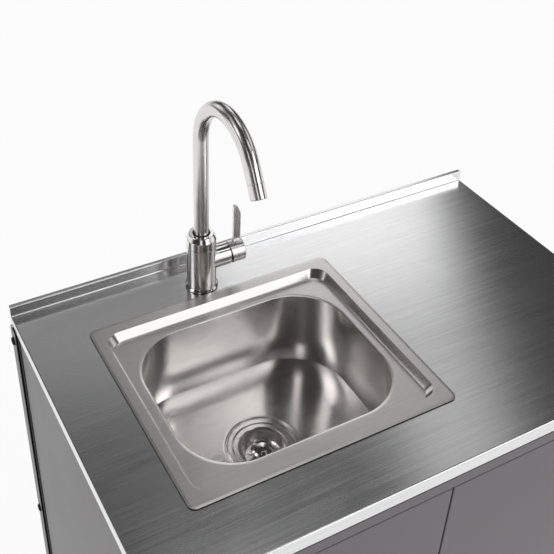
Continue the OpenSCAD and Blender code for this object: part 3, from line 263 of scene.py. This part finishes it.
bpy.context.scene.view_settings.view_transform = "Standard"
setCamera()
setWorld()
setFloor()
print("camera and studio ready")


# Shared surface effects

grainShape = {
    "layers": ({"widen": 1.0, "detail": 2.0, "share": 0.45}, {"widen": 4.0, "detail": 3.0, "share": 0.55}),
    "roughness": 0.6, "low": 0.3, "high": 0.7,
}
smearShape = {"detail": 4.0, "roughness": 0.55, "distortion": 0.6, "low": 0.32, "high": 0.68}
edgeHighlightShape = {
    "bendLow": 0.02, "bendHigh": 0.16, "noiseScale": 90.0, "detail": 3.0, "low": 0.35, "high": 0.65,
}


def grainGroup():
    # long fine lines: x of the vector runs along them
    g = grainShape
    tree, source, result = makeGroup("brushedGrain", "ShaderNodeTree",
        [("Vector", "NodeSocketVector", None), ("Length", "NodeSocketFloat", 0.05),
         ("Width", "NodeSocketFloat", 0.0008)], [("Streak", "NodeSocketFloat"), ("Fine", "NodeSocketFloat")])
    along = maths(tree, "DIVIDE", 1.0, source.outputs["Length"])
    layers = []
    for layer in g["layers"]:
        across = maths(tree, "DIVIDE", 1.0 / layer["widen"], source.outputs["Width"])
        place = vectorMaths(tree, "MULTIPLY", source.outputs["Vector"], combined(tree, along, across, across))
        layers.append(noiseValue(tree, place, 1.0, layer["detail"], Roughness=g["roughness"]))
    fineShare, broadShare = (layer["share"] for layer in g["layers"])
    mixed = maths(tree, "MULTIPLY_ADD", layers[0], fineShare, maths(tree, "MULTIPLY", layers[1], broadShare))
    tree.links.new(smoothStep(tree, mixed, g["low"], g["high"]), result.inputs["Streak"])
    tree.links.new(layers[0], result.inputs["Fine"])
    return tree


def smearGroup():
    # soft broad clouds, as wiping leaves them
    g = smearShape
    tree, source, result = makeGroup("wipedSmears", "ShaderNodeTree",
        [("Vector", "NodeSocketVector", None), ("Size", "NodeSocketFloat", 0.12)],
        [("Cloud", "NodeSocketFloat")])
    scale = maths(tree, "DIVIDE", 1.0, source.outputs["Size"])
    noise = noiseValue(tree, source.outputs["Vector"], scale, g["detail"], Roughness=g["roughness"],
                       Distortion=g["distortion"])
    tree.links.new(smoothStep(tree, noise, g["low"], g["high"]), result.inputs["Cloud"])
    return tree


def edgeHighlightGroup():
    # edges found by a rounded normal, broken up by noise: the mask for a painted highlight along the edges, and
    # the rounded normal
    g = edgeHighlightShape
    tree, source, result = makeGroup("edgeHighlightAndRounding", "ShaderNodeTree",
        [("Vector", "NodeSocketVector", None), ("Radius", "NodeSocketFloat", 0.0012)],
        [("Edge", "NodeSocketFloat"), ("Normal", "NodeSocketVector")])
    rounded = bevelNormal(tree, source.outputs["Radius"])
    bend = maths(tree, "SUBTRACT", 1.0, vectorMaths(tree, "DOT_PRODUCT", rounded, faceNormal(tree)))
    noise = noiseValue(tree, source.outputs["Vector"], g["noiseScale"], g["detail"])
    broken = maths(tree, "MULTIPLY", smoothStep(tree, bend, g["bendLow"], g["bendHigh"]),
                   smoothStep(tree, noise, g["low"], g["high"]))
    tree.links.new(broken, result.inputs["Edge"])
    tree.links.new(rounded, result.inputs["Normal"])
    return tree


grain = grainGroup()
smears = smearGroup()
edges = edgeHighlightGroup()


def startMaterial(name, constants):
    material = bpy.data.materials.new(name)
    material.use_nodes = True
    tree = material.node_tree
    tree.nodes.clear()
    shader = addNode(tree, "ShaderNodeBsdfPrincipled", constants)
    addNode(tree, "ShaderNodeOutputMaterial", {"Surface": shader.outputs[0]})
    place = addNode(tree, "ShaderNodeTexCoord").outputs["Object"]
    return material, tree, shader, place


def toned(colour, factor, lift=0.0):
    return tuple(min(c * factor + lift, 1) for c in colour) + (1,)


def setRelief(tree, shader, height, strength, depth, normal=None):
    relief = addNode(tree, "ShaderNodeBump", {"Strength": strength, "Distance": depth, "Height": height})
    if normal:
        tree.links.new(normal, relief.inputs["Normal"])
    tree.links.new(relief.outputs[0], shader.inputs["Normal"])


def acrossLevelLines(tree, place):
    # brush lines run level on every face, so the soft direction is the normal crossed with their line
    normal = faceNormal(tree)
    main = vectorMaths(tree, "CROSS_PRODUCT", normal, brushLine)
    spare = vectorMaths(tree, "CROSS_PRODUCT", normal, spareLine)
    return vectorMaths(tree, "NORMALIZE", vectorMaths(tree, "ADD", main, spare))


def alongTapParts(tree, place):
    # turned parts are soft along their axis: x on the barrel beyond the body, z elsewhere
    low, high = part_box("tap_body")
    barrelFrom = low.x + high.y - low.y
    onBarrel = smoothStep(tree, separated(tree, place, "X"), barrelFrom, barrelFrom + barrelBlend)
    return combined(tree, onBarrel, 0.0, maths(tree, "SUBTRACT", 1.0, onBarrel))


def alongTube(tree, place):
    line = addNode(tree, "ShaderNodeAttribute", attribute_name="heading").outputs["Vector"]
    return addNode(tree, "ShaderNodeVectorTransform", {0: line}, convert_from="OBJECT",
                   convert_to="WORLD").outputs[0]


def tubePlace(tree):
    # the sweep stores its length along and its share around, so the lines follow the bend
    along = addNode(tree, "ShaderNodeAttribute", attribute_name="along").outputs["Fac"]
    around = addNode(tree, "ShaderNodeAttribute", attribute_name="around").outputs["Fac"]
    turn = maths(tree, "MULTIPLY", around, tau)
    ring = [maths(tree, "MULTIPLY", maths(tree, kind, turn), tubeRadius) for kind in ("COSINE", "SINE")]
    return combined(tree, along, *ring)


steelLook = {
    "smearSize": 0.16, "smearShare": 0.6, "reliefDepth": 0.2 * mm,
    "satinRise": 3 * mm, "levelFrom": 0.95, "levelTo": 0.985,
}


def addedSatin(tree, place, satinFrom, satin):
    # the extra roughness of level surfaces above a height
    look = steelLook
    above = smoothStep(tree, separated(tree, place, "Z"), satinFrom, satinFrom + look["satinRise"], 0.0, satin)
    level = smoothStep(tree, separated(tree, faceNormal(tree), "Z"), look["levelFrom"], look["levelTo"])
    return maths(tree, "MULTIPLY", above, level)


def brushedSteel(name, colour, rough, spread, turn=(0, 0, 0), length=0.06, width=0.0007, tone=0.08,
                 bump=0.04, tangent=None, anisotropy=0.0, bevel=0.0006, source=None, satinFrom=None, satin=0.0):
    # colour and roughness follow the brush lines; spread is how far the roughness varies
    look = steelLook
    material, tree, shader, place = startMaterial(name, {"Metallic": 1.0, "Anisotropic": anisotropy})
    if tangent:
        tree.links.new(tangent(tree, place), shader.inputs["Tangent"])
    if source:
        place = source(tree)
    turned = addNode(tree, "ShaderNodeMapping", {"Vector": place, "Rotation": turn}).outputs[0]
    lines = placeGroup(tree, grain, {"Vector": turned, "Length": length, "Width": width})
    clouds = placeGroup(tree, smears, {"Vector": place, "Size": look["smearSize"]}).outputs["Cloud"]
    streak = lines.outputs["Streak"]
    shade = mixColour(tree, streak, toned(colour, 1 - tone), toned(colour, 1 + tone))
    tree.links.new(shade, shader.inputs["Base Color"])
    varied = maths(tree, "MULTIPLY_ADD", streak, spread, rough - spread / 2)
    varied = maths(tree, "MULTIPLY_ADD", clouds, spread * look["smearShare"], varied)
    if satinFrom:
        varied = maths(tree, "ADD", varied, addedSatin(tree, place, satinFrom, satin))
    tree.links.new(varied, shader.inputs["Roughness"])
    normal = bevelNormal(tree, bevel) if bevel else None
    setRelief(tree, shader, lines.outputs["Fine"], bump, look["reliefDepth"], normal)
    return material


paintLook = {
    "coatRoughness": 0.25, "grit": 900.0, "detail": 2.0, "smearSize": 0.3, "edgeRadius": 0.9 * mm,
    # the lighter edge colour, its lift and its share paint a highlight along every edge
    "darker": 0.96, "lighter": 1.05, "paintedHighlight": 1.5, "paintedHighlightLift": 0.02, "paintedHighlightShare": 0.5,
    "roughSpread": 0.06, "relief": 0.12, "reliefDepth": 0.1 * mm,
}


def satinPaint(name, colour, rough, coat, shine=0.5):
    # powder coat: a faint orange peel, a painted highlight along the edges and a trace of dust
    look = paintLook
    material, tree, shader, place = startMaterial(name, {
        "Metallic": 0.0, "Specular IOR Level": shine, "Coat Weight": coat,
        "Coat Roughness": look["coatRoughness"]})
    peel = noiseValue(tree, place, look["grit"], look["detail"])
    clouds = placeGroup(tree, smears, {"Vector": place, "Size": look["smearSize"]}).outputs["Cloud"]
    edgeHighlightAndRound = placeGroup(tree, edges, {"Vector": place, "Radius": look["edgeRadius"]})
    shade = mixColour(tree, clouds, toned(colour, look["darker"]), toned(colour, look["lighter"]))
    # painted highlight: the edges are made lighter in the colour, where light would catch them
    paintedHighlight = toned(colour, look["paintedHighlight"], look["paintedHighlightLift"])
    highlightWeight = maths(tree, "MULTIPLY", edgeHighlightAndRound.outputs["Edge"], look["paintedHighlightShare"])
    tree.links.new(mixColour(tree, highlightWeight, shade, paintedHighlight), shader.inputs["Base Color"])
    varied = maths(tree, "MULTIPLY_ADD", clouds, look["roughSpread"], rough - look["roughSpread"] / 2)
    tree.links.new(varied, shader.inputs["Roughness"])
    setRelief(tree, shader, peel, look["relief"], look["reliefDepth"], edgeHighlightAndRound.outputs["Normal"])
    return material


plasticLook = {
    "speckScale": 1400.0, "detail": 2.0, "smearSize": 0.05, "edgeRadius": 0.7 * mm,
    "roughSpread": 0.12, "relief": 0.15, "reliefDepth": 0.1 * mm,
}


def mouldedPlastic(name, colour, rough, tint=0.04):
    look = plasticLook
    material, tree, shader, place = startMaterial(name, {"Metallic": 0.0})
    speck = noiseValue(tree, place, look["speckScale"], look["detail"])
    clouds = placeGroup(tree, smears, {"Vector": place, "Size": look["smearSize"]}).outputs["Cloud"]
    edgeHighlightAndRound = placeGroup(tree, edges, {"Vector": place, "Radius": look["edgeRadius"]})
    shade = mixColour(tree, clouds, toned(colour, 1 - tint), toned(colour, 1 + tint))
    tree.links.new(shade, shader.inputs["Base Color"])
    varied = maths(tree, "MULTIPLY_ADD", speck, look["roughSpread"], rough - look["roughSpread"] / 2)
    tree.links.new(varied, shader.inputs["Roughness"])
    setRelief(tree, shader, speck, look["relief"], look["reliefDepth"], edgeHighlightAndRound.outputs["Normal"])
    return material


finishes = {
    "stainless_brushed": brushedSteel("brushedWorktop", (0.78, 0.78, 0.785), 0.17, 0.02, length=0.14,
        width=0.0008, tone=0.07, bump=0.012, tangent=acrossLevelLines, anisotropy=0.7),
    "stainless_sink": brushedSteel("satinSink", (0.80, 0.775, 0.76), 0.2, 0.04, length=0.06, width=0.0012,
        tone=0.04, bump=0.002, bevel=0, tangent=acrossLevelLines, anisotropy=0.2,
        satinFrom=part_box("sink")[1].z - satinDepth, satin=0.09),
    "tap_steel": brushedSteel("tapSteel", (0.76, 0.745, 0.735), 0.17, 0.05, turn=uprightGrain, length=0.03,
        width=0.0006, tone=0.06, bump=0.02, bevel=0.0008, tangent=alongTapParts, anisotropy=0.7),
    "satin_steel": brushedSteel("satinSteel", (0.80, 0.775, 0.785), 0.27, 0.04, turn=uprightGrain, length=0.03,
        width=0.0006, tone=0.04, bump=0.02, bevel=0.0008),
    "bright_steel": brushedSteel("brightSteel", (0.76, 0.75, 0.74), 0.08, 0.02, tone=0.03, bump=0.01),
    "zinc_steel": brushedSteel("zincSteel", (0.50, 0.51, 0.53), 0.38, 0.14, length=0.004, width=0.003,
        tone=0.12, bump=0.06),
    "warm_grey_paint": satinPaint("warmGreyPaint", (0.158, 0.148, 0.156), 0.46, 0.1),
    "black_paint": satinPaint("blackPaint", (0.008, 0.008, 0.008), 0.6, 0.0, shine=0.2),
    "black_rubber": mouldedPlastic("blackRubber", (0.02, 0.02, 0.02), 0.75),
    "black_plastic": mouldedPlastic("blackPlastic", (0.025, 0.025, 0.026), 0.5),
    "white_plastic": mouldedPlastic("whitePlastic", (0.74, 0.74, 0.72), 0.42, 0.02),
}
tubeSteel = brushedSteel("spoutSteel", (0.76, 0.745, 0.735), 0.2, 0.05, length=0.02, width=0.0006,
    tone=0.06, bump=0.02, source=tubePlace, tangent=alongTube, anisotropy=0.7)
print("materials ready")


# Mesh helpers

def meshObject(name, vertices, faces, material, sharp=40.0):
    mesh = bpy.data.meshes.new(name)
    mesh.from_pydata(vertices, [], faces)
    mesh.materials.append(material)
    mesh.polygons.foreach_set("use_smooth", [True] * len(mesh.polygons))
    mesh.set_sharp_from_angle(angle=radians(sharp))
    obj = bpy.data.objects.new(name, mesh)
    bpy.context.scene.collection.objects.link(obj)
    return obj


def outward(obj):
    # merges doubles and turns every face outwards
    work = bmesh.new()
    work.from_mesh(obj.data)
    bmesh.ops.remove_doubles(work, verts=work.verts, dist=mergeDistance)
    bmesh.ops.recalc_face_normals(work, faces=work.faces)
    work.to_mesh(obj.data)
    work.free()
    return obj


def applied(obj):
    # turns the evaluated object into a plain mesh and drops its modifiers
    graph = bpy.context.evaluated_depsgraph_get()
    mesh = bpy.data.meshes.new_from_object(obj.evaluated_get(graph), preserve_all_data_layers=True,
                                           depsgraph=graph)
    obj.modifiers.clear()
    obj.data = mesh


def foldedPath(corners, cuts, steps):
    # rounds the inner corners of a path: each round is a conic that is a true arc at its middle
    path = [Vector(corners[0])]
    for before, corner, after, cut in zip(corners, corners[1:], corners[2:], cuts):
        before, corner, after = Vector(before), Vector(corner), Vector(after)
        inLeg, outLeg = (before - corner), (after - corner)
        start = corner + inLeg.normalized() * min(cut, inLeg.length * cutLimit)
        end = corner + outLeg.normalized() * min(cut, outLeg.length * cutLimit)
        weight = sin(acos(inLeg.normalized().dot(outLeg.normalized())) / 2)
        for i in range(steps + 1):
            t = i / steps
            a, b, c = (1 - t) ** 2, 2 * weight * t * (1 - t), t * t
            path.append((start * a + corner * b + end * c) / (a + b + c))
    path.append(Vector(corners[-1]))
    return path


def ringFaces(count, pairs):
    # four-sided faces between pairs of rings that have the same number of points
    faces = []
    for lower, upper in pairs:
        for i in range(count):
            j = (i + 1) % count
            faces.append((lower * count + i, lower * count + j, upper * count + j, upper * count + i))
    return faces


def lathe(path, sides):
    # turns a path of (radius, height) about z; ends on the axis close as fans
    vertices, rings = [], []
    for radius, height in path:
        count = 1 if radius < mergeDistance else sides
        rings.append(range(len(vertices), len(vertices) + count))
        vertices += [(radius * cos(tau * i / sides), radius * sin(tau * i / sides), height)
                     for i in range(count)]
    faces = []
    for lower, upper in zip(rings, rings[1:]):
        for i in range(sides):
            j = (i + 1) % sides
            quad = [lower[i % len(lower)], lower[j % len(lower)], upper[j % len(upper)], upper[i % len(upper)]]
            faces.append(list(dict.fromkeys(quad)))
    return vertices, faces


# Sink: one pressed sheet, made as rings from the rim to the drain

sinkShape = {
    "rimEdge": 0.8 * mm, "rimSlope": 4.5 * mm, "rimSlopeDrop": 0.6 * mm, "rimCorner": 12 * mm,
    "rimSide": 14.5 * mm, "rimFront": 17.5 * mm,
    "stepRun": 12 * mm, "stepCorner": 26 * mm, "ledgeCorner": 22 * mm, "ledgeDrop": 14.2 * mm,
    "ledgeSide": 12 * mm, "ledgeFront": 14 * mm,
    "bowlCorner": 90 * mm, "bowlDrop": 182.2 * mm, "bowlDraft": 10.9 * mm,
    "recessRadius": 61.5 * mm, "recessDrop": 2.5 * mm, "holeRadius": 52 * mm,
    "recessSlope": 0.6 * mm, "recessMargin": 4 * mm, "recessRound": 1.0 * mm, "floorMargin": 2 * mm,
    "rounds": (0.5 * mm, 1.5 * mm, 4.5 * mm, 3.5 * mm, 4.5 * mm, 45 * mm),
    "sheet": 0.8 * mm, "sharp": 60,
    "cornerSteps": 20, "sideSteps": 10, "roundSteps": 12, "recessSteps": 4,
}


def roundedRing(halfW, halfD, corner, height, centre, cornerSteps, sideSteps):
    points = []
    signs = [(1, 1), (-1, 1), (-1, -1), (1, -1)]
    for quarter, (sx, sy) in enumerate(signs):
        hub = Vector((centre.x + sx * (halfW - corner), centre.y + sy * (halfD - corner), height))
        for i in range(cornerSteps + 1):
            angle = (quarter + i / cornerSteps) * pi / 2
            points.append(hub + corner * Vector((cos(angle), sin(angle), 0)))
        nextX, nextY = signs[(quarter + 1) % 4]
        nextHub = Vector((centre.x + nextX * (halfW - corner), centre.y + nextY * (halfD - corner), height))
        angle = (quarter + 1) * pi / 2
        start, end = points[-1], nextHub + corner * Vector((cos(angle), sin(angle), 0))
        points += [start.lerp(end, i / sideSteps) for i in range(1, sideSteps)]
    return points


def buildSink():
    s = sinkShape
    low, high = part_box("sink")
    centre = (low + high) / 2
    halfW, halfD = (high.x - low.x) / 2, (high.y - low.y) / 2
    top = high.z
    stepW, stepD = halfW - s["rimSide"], halfD - s["rimFront"]
    ledgeW, ledgeD = stepW - s["stepRun"], stepD - s["stepRun"]
    bowlW, bowlD = ledgeW - s["ledgeSide"], ledgeD - s["ledgeFront"]
    ledgeZ, floorZ = top - s["ledgeDrop"], top - s["bowlDrop"]
    footW, footD, footR = (bowlW - s["bowlDraft"], bowlD - s["bowlDraft"], s["bowlCorner"] - s["bowlDraft"])
    flat = s["rounds"][-1] + s["floorMargin"]
    corners = [
        (halfW, halfD, s["rimCorner"], top - s["rimEdge"]),      # painted shade: the black seal shows below this edge, in place of the shade under the rim
        (halfW, halfD, s["rimCorner"], top - s["rimSlopeDrop"]),
        (halfW - s["rimSlope"], halfD - s["rimSlope"], s["rimCorner"] - s["rimSlope"], top),
        (stepW, stepD, s["stepCorner"], top),
        (ledgeW, ledgeD, s["ledgeCorner"], ledgeZ),
        (bowlW, bowlD, s["bowlCorner"], ledgeZ),
        (footW, footD, footR, floorZ),
        (footW - flat, footD - flat, footR - flat, floorZ),
    ]
    path = foldedPath(corners, s["rounds"], s["roundSteps"])
    rings = [roundedRing(w, d, r, z, centre, s["cornerSteps"], s["sideSteps"]) for w, d, r, z in path]
    angles = [atan2(p.y - centre.y, p.x - centre.x) for p in rings[-1]]
    recessZ = floorZ - s["recessDrop"]
    drain = foldedPath([
        (s["recessRadius"] + s["recessMargin"], floorZ), (s["recessRadius"], floorZ),
        (s["recessRadius"] - s["recessSlope"], recessZ), (s["holeRadius"], recessZ),
    ], [s["recessRound"]] * 2, s["recessSteps"])
    for radius, height in drain:
        rings.append([Vector((centre.x + radius * cos(a), centre.y + radius * sin(a), height)) for a in angles])
    vertices = [tuple(p) for ring in rings for p in ring]
    faces = ringFaces(len(angles), zip(range(len(rings)), range(1, len(rings))))
    sink = meshObject("pressedSink", vertices, faces, finishes["stainless_sink"], s["sharp"])
    outward(sink)
    if sum(f.normal.z for f in sink.data.polygons) < 0:
        sink.data.flip_normals()
    wall = sink.modifiers.new("sheet", "SOLIDIFY")
    wall.thickness = s["sheet"]
    wall.offset = -1
    applied(sink)
    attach(sink, "cabinet")
    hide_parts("sink")


buildSink()
print("sink ready")


# Sink seal: pushed out a little past the rim's edge, so that its black stands in for the shade under the rim: a
# real seal and a painted shade line

sealShape = {
    "inset": -0.6 * mm, "width": 8.2 * mm, "height": 1.3 * mm, "cornerSteps": 12, "sideSteps": 1, "sharp": 40,
}


def buildSinkSeal():
    s = sealShape
    low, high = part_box("sink")
    centre = (low + high) / 2
    halfW, halfD = (high.x - low.x) / 2, (high.y - low.y) / 2
    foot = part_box("sink_seal")[0].z
    rings = []
    # painted shade: the negative inset puts the black seal just outside the rim, where the shade line under the
    # rim would be
    outer, inner, height = s["inset"], s["width"], s["height"]
    for inset, rise in ((outer, 0), (outer, height), (inner, height), (inner, 0)):
        rings.append(roundedRing(halfW - inset, halfD - inset, sinkShape["rimCorner"] - s["inset"],
                                 foot + rise, centre, s["cornerSteps"], s["sideSteps"]))
    vertices = [tuple(p) for ring in rings for p in ring]
    faces = ringFaces(len(rings[0]), ((0, 1), (1, 2), (2, 3), (3, 0)))
    seal = outward(meshObject("flushSeal", vertices, faces, finishes["black_rubber"], s["sharp"]))
    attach(seal, "cabinet")
    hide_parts("sink_seal")


buildSinkSeal()
print("sink seal ready")


# Spout: Geometry Nodes sweep a tube along a rise and a bend

spoutShape = {
    "tubeRadius": tubeRadius, "bendRadius": 85 * mm, "bendAngle": radians(151),
    "points": 160, "sides": 64,
}


def sweepTree(material):
    tree, source, result = makeGroup("spoutSweep", "GeometryNodeTree",
        [("Geometry", "NodeSocketGeometry", None), ("Foot", "NodeSocketVector", None),
         ("Rise", "NodeSocketFloat", None), ("Bend Radius", "NodeSocketFloat", None),
         ("Bend Angle", "NodeSocketFloat", None), ("Tube Radius", "NodeSocketFloat", None),
         ("Points", "NodeSocketInt", None), ("Sides", "NodeSocketInt", None)],
        [("Geometry", "NodeSocketGeometry")])
    put = source.outputs
    line = addNode(tree, "GeometryNodeMeshLine", {"Count": put["Points"]})
    index = addNode(tree, "GeometryNodeInputIndex").outputs[0]
    share = maths(tree, "DIVIDE", index, maths(tree, "SUBTRACT", put["Points"], 1.0))
    whole = maths(tree, "MULTIPLY_ADD", put["Bend Radius"], put["Bend Angle"], put["Rise"])
    run = maths(tree, "MULTIPLY", share, whole)
    past = maths(tree, "MAXIMUM", maths(tree, "SUBTRACT", run, put["Rise"]), 0.0)
    arc = maths(tree, "DIVIDE", past, put["Bend Radius"])
    back = maths(tree, "SUBTRACT", maths(tree, "COSINE", arc), 1.0)
    forward = maths(tree, "MULTIPLY", back, put["Bend Radius"])
    upward = maths(tree, "MULTIPLY_ADD", maths(tree, "SINE", arc), put["Bend Radius"],
                   maths(tree, "MINIMUM", run, put["Rise"]))
    place = vectorMaths(tree, "ADD", combined(tree, 0.0, forward, upward), put["Foot"])
    moved = addNode(tree, "GeometryNodeSetPosition", {"Geometry": line.outputs[0], "Position": place})
    curve = addNode(tree, "GeometryNodeMeshToCurve", {0: moved.outputs[0]})
    length = addNode(tree, "GeometryNodeSplineParameter").outputs["Length"]
    marked = addNode(tree, "GeometryNodeStoreNamedAttribute",
        {"Geometry": curve.outputs[0], "Name": "along", "Value": length}, data_type="FLOAT", domain="POINT")
    heading = addNode(tree, "GeometryNodeInputTangent").outputs[0]
    headed = addNode(tree, "GeometryNodeStoreNamedAttribute",
        {"Geometry": marked.outputs[0], "Name": "heading", "Value": heading}, data_type="FLOAT_VECTOR",
        domain="POINT")
    circle = addNode(tree, "GeometryNodeCurvePrimitiveCircle",
        {"Resolution": put["Sides"], "Radius": put["Tube Radius"]})
    factor = addNode(tree, "GeometryNodeSplineParameter").outputs["Factor"]
    ring = addNode(tree, "GeometryNodeStoreNamedAttribute",
        {"Geometry": circle.outputs[0], "Name": "around", "Value": factor}, data_type="FLOAT", domain="POINT")
    tube = addNode(tree, "GeometryNodeCurveToMesh",
        {"Curve": headed.outputs[0], "Profile Curve": ring.outputs[0], "Fill Caps": True})
    smooth = addNode(tree, "GeometryNodeSetShadeSmooth", {"Geometry": tube.outputs[0], "Shade Smooth": True})
    real = addNode(tree, "GeometryNodeRealizeInstances", {0: smooth.outputs[0]})
    coated = addNode(tree, "GeometryNodeSetMaterial", {"Geometry": real.outputs[0], "Material": material})
    tree.links.new(coated.outputs[0], result.inputs[0])
    return tree


def growFromNodes(name, tree, values, material, points=()):
    # runs a node tree on a mesh of loose points and keeps the result as a plain mesh
    mesh = bpy.data.meshes.new(name)
    mesh.from_pydata(points, [], [])
    obj = bpy.data.objects.new(name, mesh)
    bpy.context.scene.collection.objects.link(obj)
    modifier = obj.modifiers.new("grow", "NODES")
    modifier.node_group = tree
    for item in tree.interface.items_tree:
        if item.item_type == "SOCKET" and item.in_out == "INPUT" and item.name in values:
            modifier[item.identifier] = values[item.name]
    applied(obj)
    if not obj.data.materials:
        obj.data.materials.append(material)
    return obj


def buildSpout():
    s = spoutShape
    low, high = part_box("spout")
    footX = (low.x + high.x) / 2
    footY = high.y - s["tubeRadius"]
    rise = high.z - s["tubeRadius"] - s["bendRadius"] - low.z
    spout = growFromNodes("bentSpout", sweepTree(tubeSteel), {
        "Foot": (footX, footY, low.z), "Rise": rise, "Bend Radius": s["bendRadius"],
        "Bend Angle": s["bendAngle"], "Tube Radius": s["tubeRadius"],
        "Points": s["points"], "Sides": s["sides"]}, tubeSteel)
    outward(spout)
    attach(spout, "swivel_spout")
    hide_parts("spout")


buildSpout()
print("spout ready")


# Tap collar: a polished ring with a groove below its sloped shoulder

collarShape = {
    "bore": 14.3 * mm, "footRound": 0.8 * mm, "grooveBelowTop": 9 * mm, "groove": 0.6 * mm,
    "aboveGroove": 0.1 * mm, "shoulderRun": 3.4 * mm, "lip": 0.8 * mm, "boreRound": 0.4 * mm,
    "sides": 96, "sharp": 20,
}


def buildTapCollar():
    s = collarShape
    low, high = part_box("tap_collar")
    radius = (high.x - low.x) / 2
    groove = high.z - s["grooveBelowTop"]
    shoulder = radius - s["shoulderRun"]
    path = [
        (s["bore"], low.z), (radius - s["footRound"], low.z), (radius, low.z + s["footRound"]),
        (radius, groove - s["groove"]), (radius - s["groove"], groove),
        (radius - s["aboveGroove"], groove + s["groove"]),
        (shoulder, high.z - s["lip"]), (shoulder - s["lip"], high.z),
        (s["bore"] + s["boreRound"], high.z), (s["bore"], high.z - s["boreRound"]), (s["bore"], low.z),
    ]
    vertices, faces = lathe(path, s["sides"])
    middle = (low + high) / 2
    vertices = [(x + middle.x, y + middle.y, z) for x, y, z in vertices]
    collar = outward(meshObject("polishedCollar", vertices, faces, finishes["bright_steel"], s["sharp"]))
    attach(collar, "cabinet")
    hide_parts("tap_collar")


buildTapCollar()
print("tap collar ready")


# Panel screws: Geometry Nodes set one pan head on each of the CAD solids

screwShape = {
    "shank": 2.5 * mm, "headEdge": 0.9 * mm, "headHeight": 3.4 * mm, "headRadius": 7.0 * mm,
    "recess": 3.0 * mm, "recessDepth": 2.0 * mm, "recessFloor": 0.96, "topRim": 1.3,
    "lobes": 6, "lobeShare": 0.16, "lobeReach": 1.01, "domeSteps": 8, "sides": 72, "sharp": 35,
}


def screwMesh(length, material):
    # turned about z from the shank's end to the middle of the lobed recess, head outwards
    s = screwShape
    path = [(0, -length), (s["shank"], -length), (s["shank"], 0), (s["headRadius"], 0)]
    run, rise = s["headRadius"] - s["recess"] * s["topRim"], s["headHeight"] - s["headEdge"]
    for i in range(s["domeSteps"] + 1):
        turn = i / s["domeSteps"] * pi / 2
        path.append((s["headRadius"] - run * (1 - cos(turn)), s["headEdge"] + rise * sin(turn)))
    floor = s["headHeight"] - s["recessDepth"]
    path += [(s["recess"], s["headHeight"]), (s["recess"] * s["recessFloor"], floor), (0, floor)]
    vertices, faces = lathe(path, s["sides"])
    shaped = []
    for x, y, z in vertices:
        inRecess = z > s["headEdge"] and x * x + y * y < (s["recess"] * s["lobeReach"]) ** 2
        swell = 1 + (s["lobeShare"] * cos(s["lobes"] * atan2(y, x)) if inRecess else 0)
        shaped.append((x * swell, y * swell, z))
    return outward(meshObject("panHead", shaped, faces, material, s["sharp"]))


def solidCentres(name):
    # the middle of each separate solid of a CAD node, sorted so that each run gives the same order
    node = frame["nodes"][name]
    work = bmesh.new()
    work.from_mesh(node.data)
    work.transform(node.matrix_world)
    bmesh.ops.remove_doubles(work, verts=work.verts, dist=looseDistance)
    left, centres = set(work.verts), []
    while left:
        group, queue = [], [left.pop()]
        while queue:
            vert = queue.pop()
            group.append(vert.co.copy())
            for edge in vert.link_edges:
                other = edge.other_vert(vert)
                if other in left:
                    left.remove(other)
                    queue.append(other)
        centres.append(Vector([(min(c[k] for c in group) + max(c[k] for c in group)) / 2 for k in range(3)]))
    work.free()
    return sorted(centres, key=tuple)


def screwTree(material):
    # each point gets the screw with its head towards the side on which the point lies
    tree, source, result = makeGroup("screwPlaces", "GeometryNodeTree",
        [("Geometry", "NodeSocketGeometry", None), ("Screw", "NodeSocketObject", None)],
        [("Geometry", "NodeSocketGeometry")])
    points = addNode(tree, "GeometryNodeMeshToPoints", {"Mesh": source.outputs["Geometry"]})
    place = addNode(tree, "GeometryNodeInputPosition").outputs[0]
    side = maths(tree, "SIGN", separated(tree, place, "X"))
    outwards = combined(tree, side, 0.0, 0.0)
    turn = addNode(tree, "FunctionNodeAlignRotationToVector", {"Vector": outwards}, axis="Z").outputs[0]
    screw = addNode(tree, "GeometryNodeObjectInfo", {"Object": source.outputs["Screw"]})
    placed = addNode(tree, "GeometryNodeInstanceOnPoints", {"Points": points.outputs[0],
                     "Instance": screw.outputs["Geometry"], "Rotation": turn})
    real = addNode(tree, "GeometryNodeRealizeInstances", {0: placed.outputs[0]})
    coated = addNode(tree, "GeometryNodeSetMaterial", {"Geometry": real.outputs[0], "Material": material})
    tree.links.new(coated.outputs[0], result.inputs[0])
    return tree


def buildPanelScrews():
    centres = solidCentres("panel_screws")
    low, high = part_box("panel_screws")
    seat = high.x - screwShape["headHeight"]
    inner = min(abs(c.x) for c in centres) * 2 - high.x
    material = finishes["black_paint"]
    template = screwMesh(seat - inner, material)
    points = [(seat if c.x > 0 else -seat, c.y, c.z) for c in centres]
    screws = growFromNodes("panHeadScrews", screwTree(material), {"Screw": template}, material, points)
    bpy.data.objects.remove(template)
    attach(screws, "cabinet")
    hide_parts("panel_screws")


buildPanelScrews()
print("panel screws ready")


# Every CAD node that stays gets the finish of its slot

ownFinish = {"tap_base": "bright_steel", "mixer_lever": "satin_steel"}


def dressFrame():
    slots = {part["node"]: part["material_slot"] for part in frame["record"]["subparts"]}
    for name, node in frame["nodes"].items():
        node.data.materials.clear()
        node.data.materials.append(finishes[ownFinish.get(name, slots[name])])


dressFrame()
print("frame dressed")
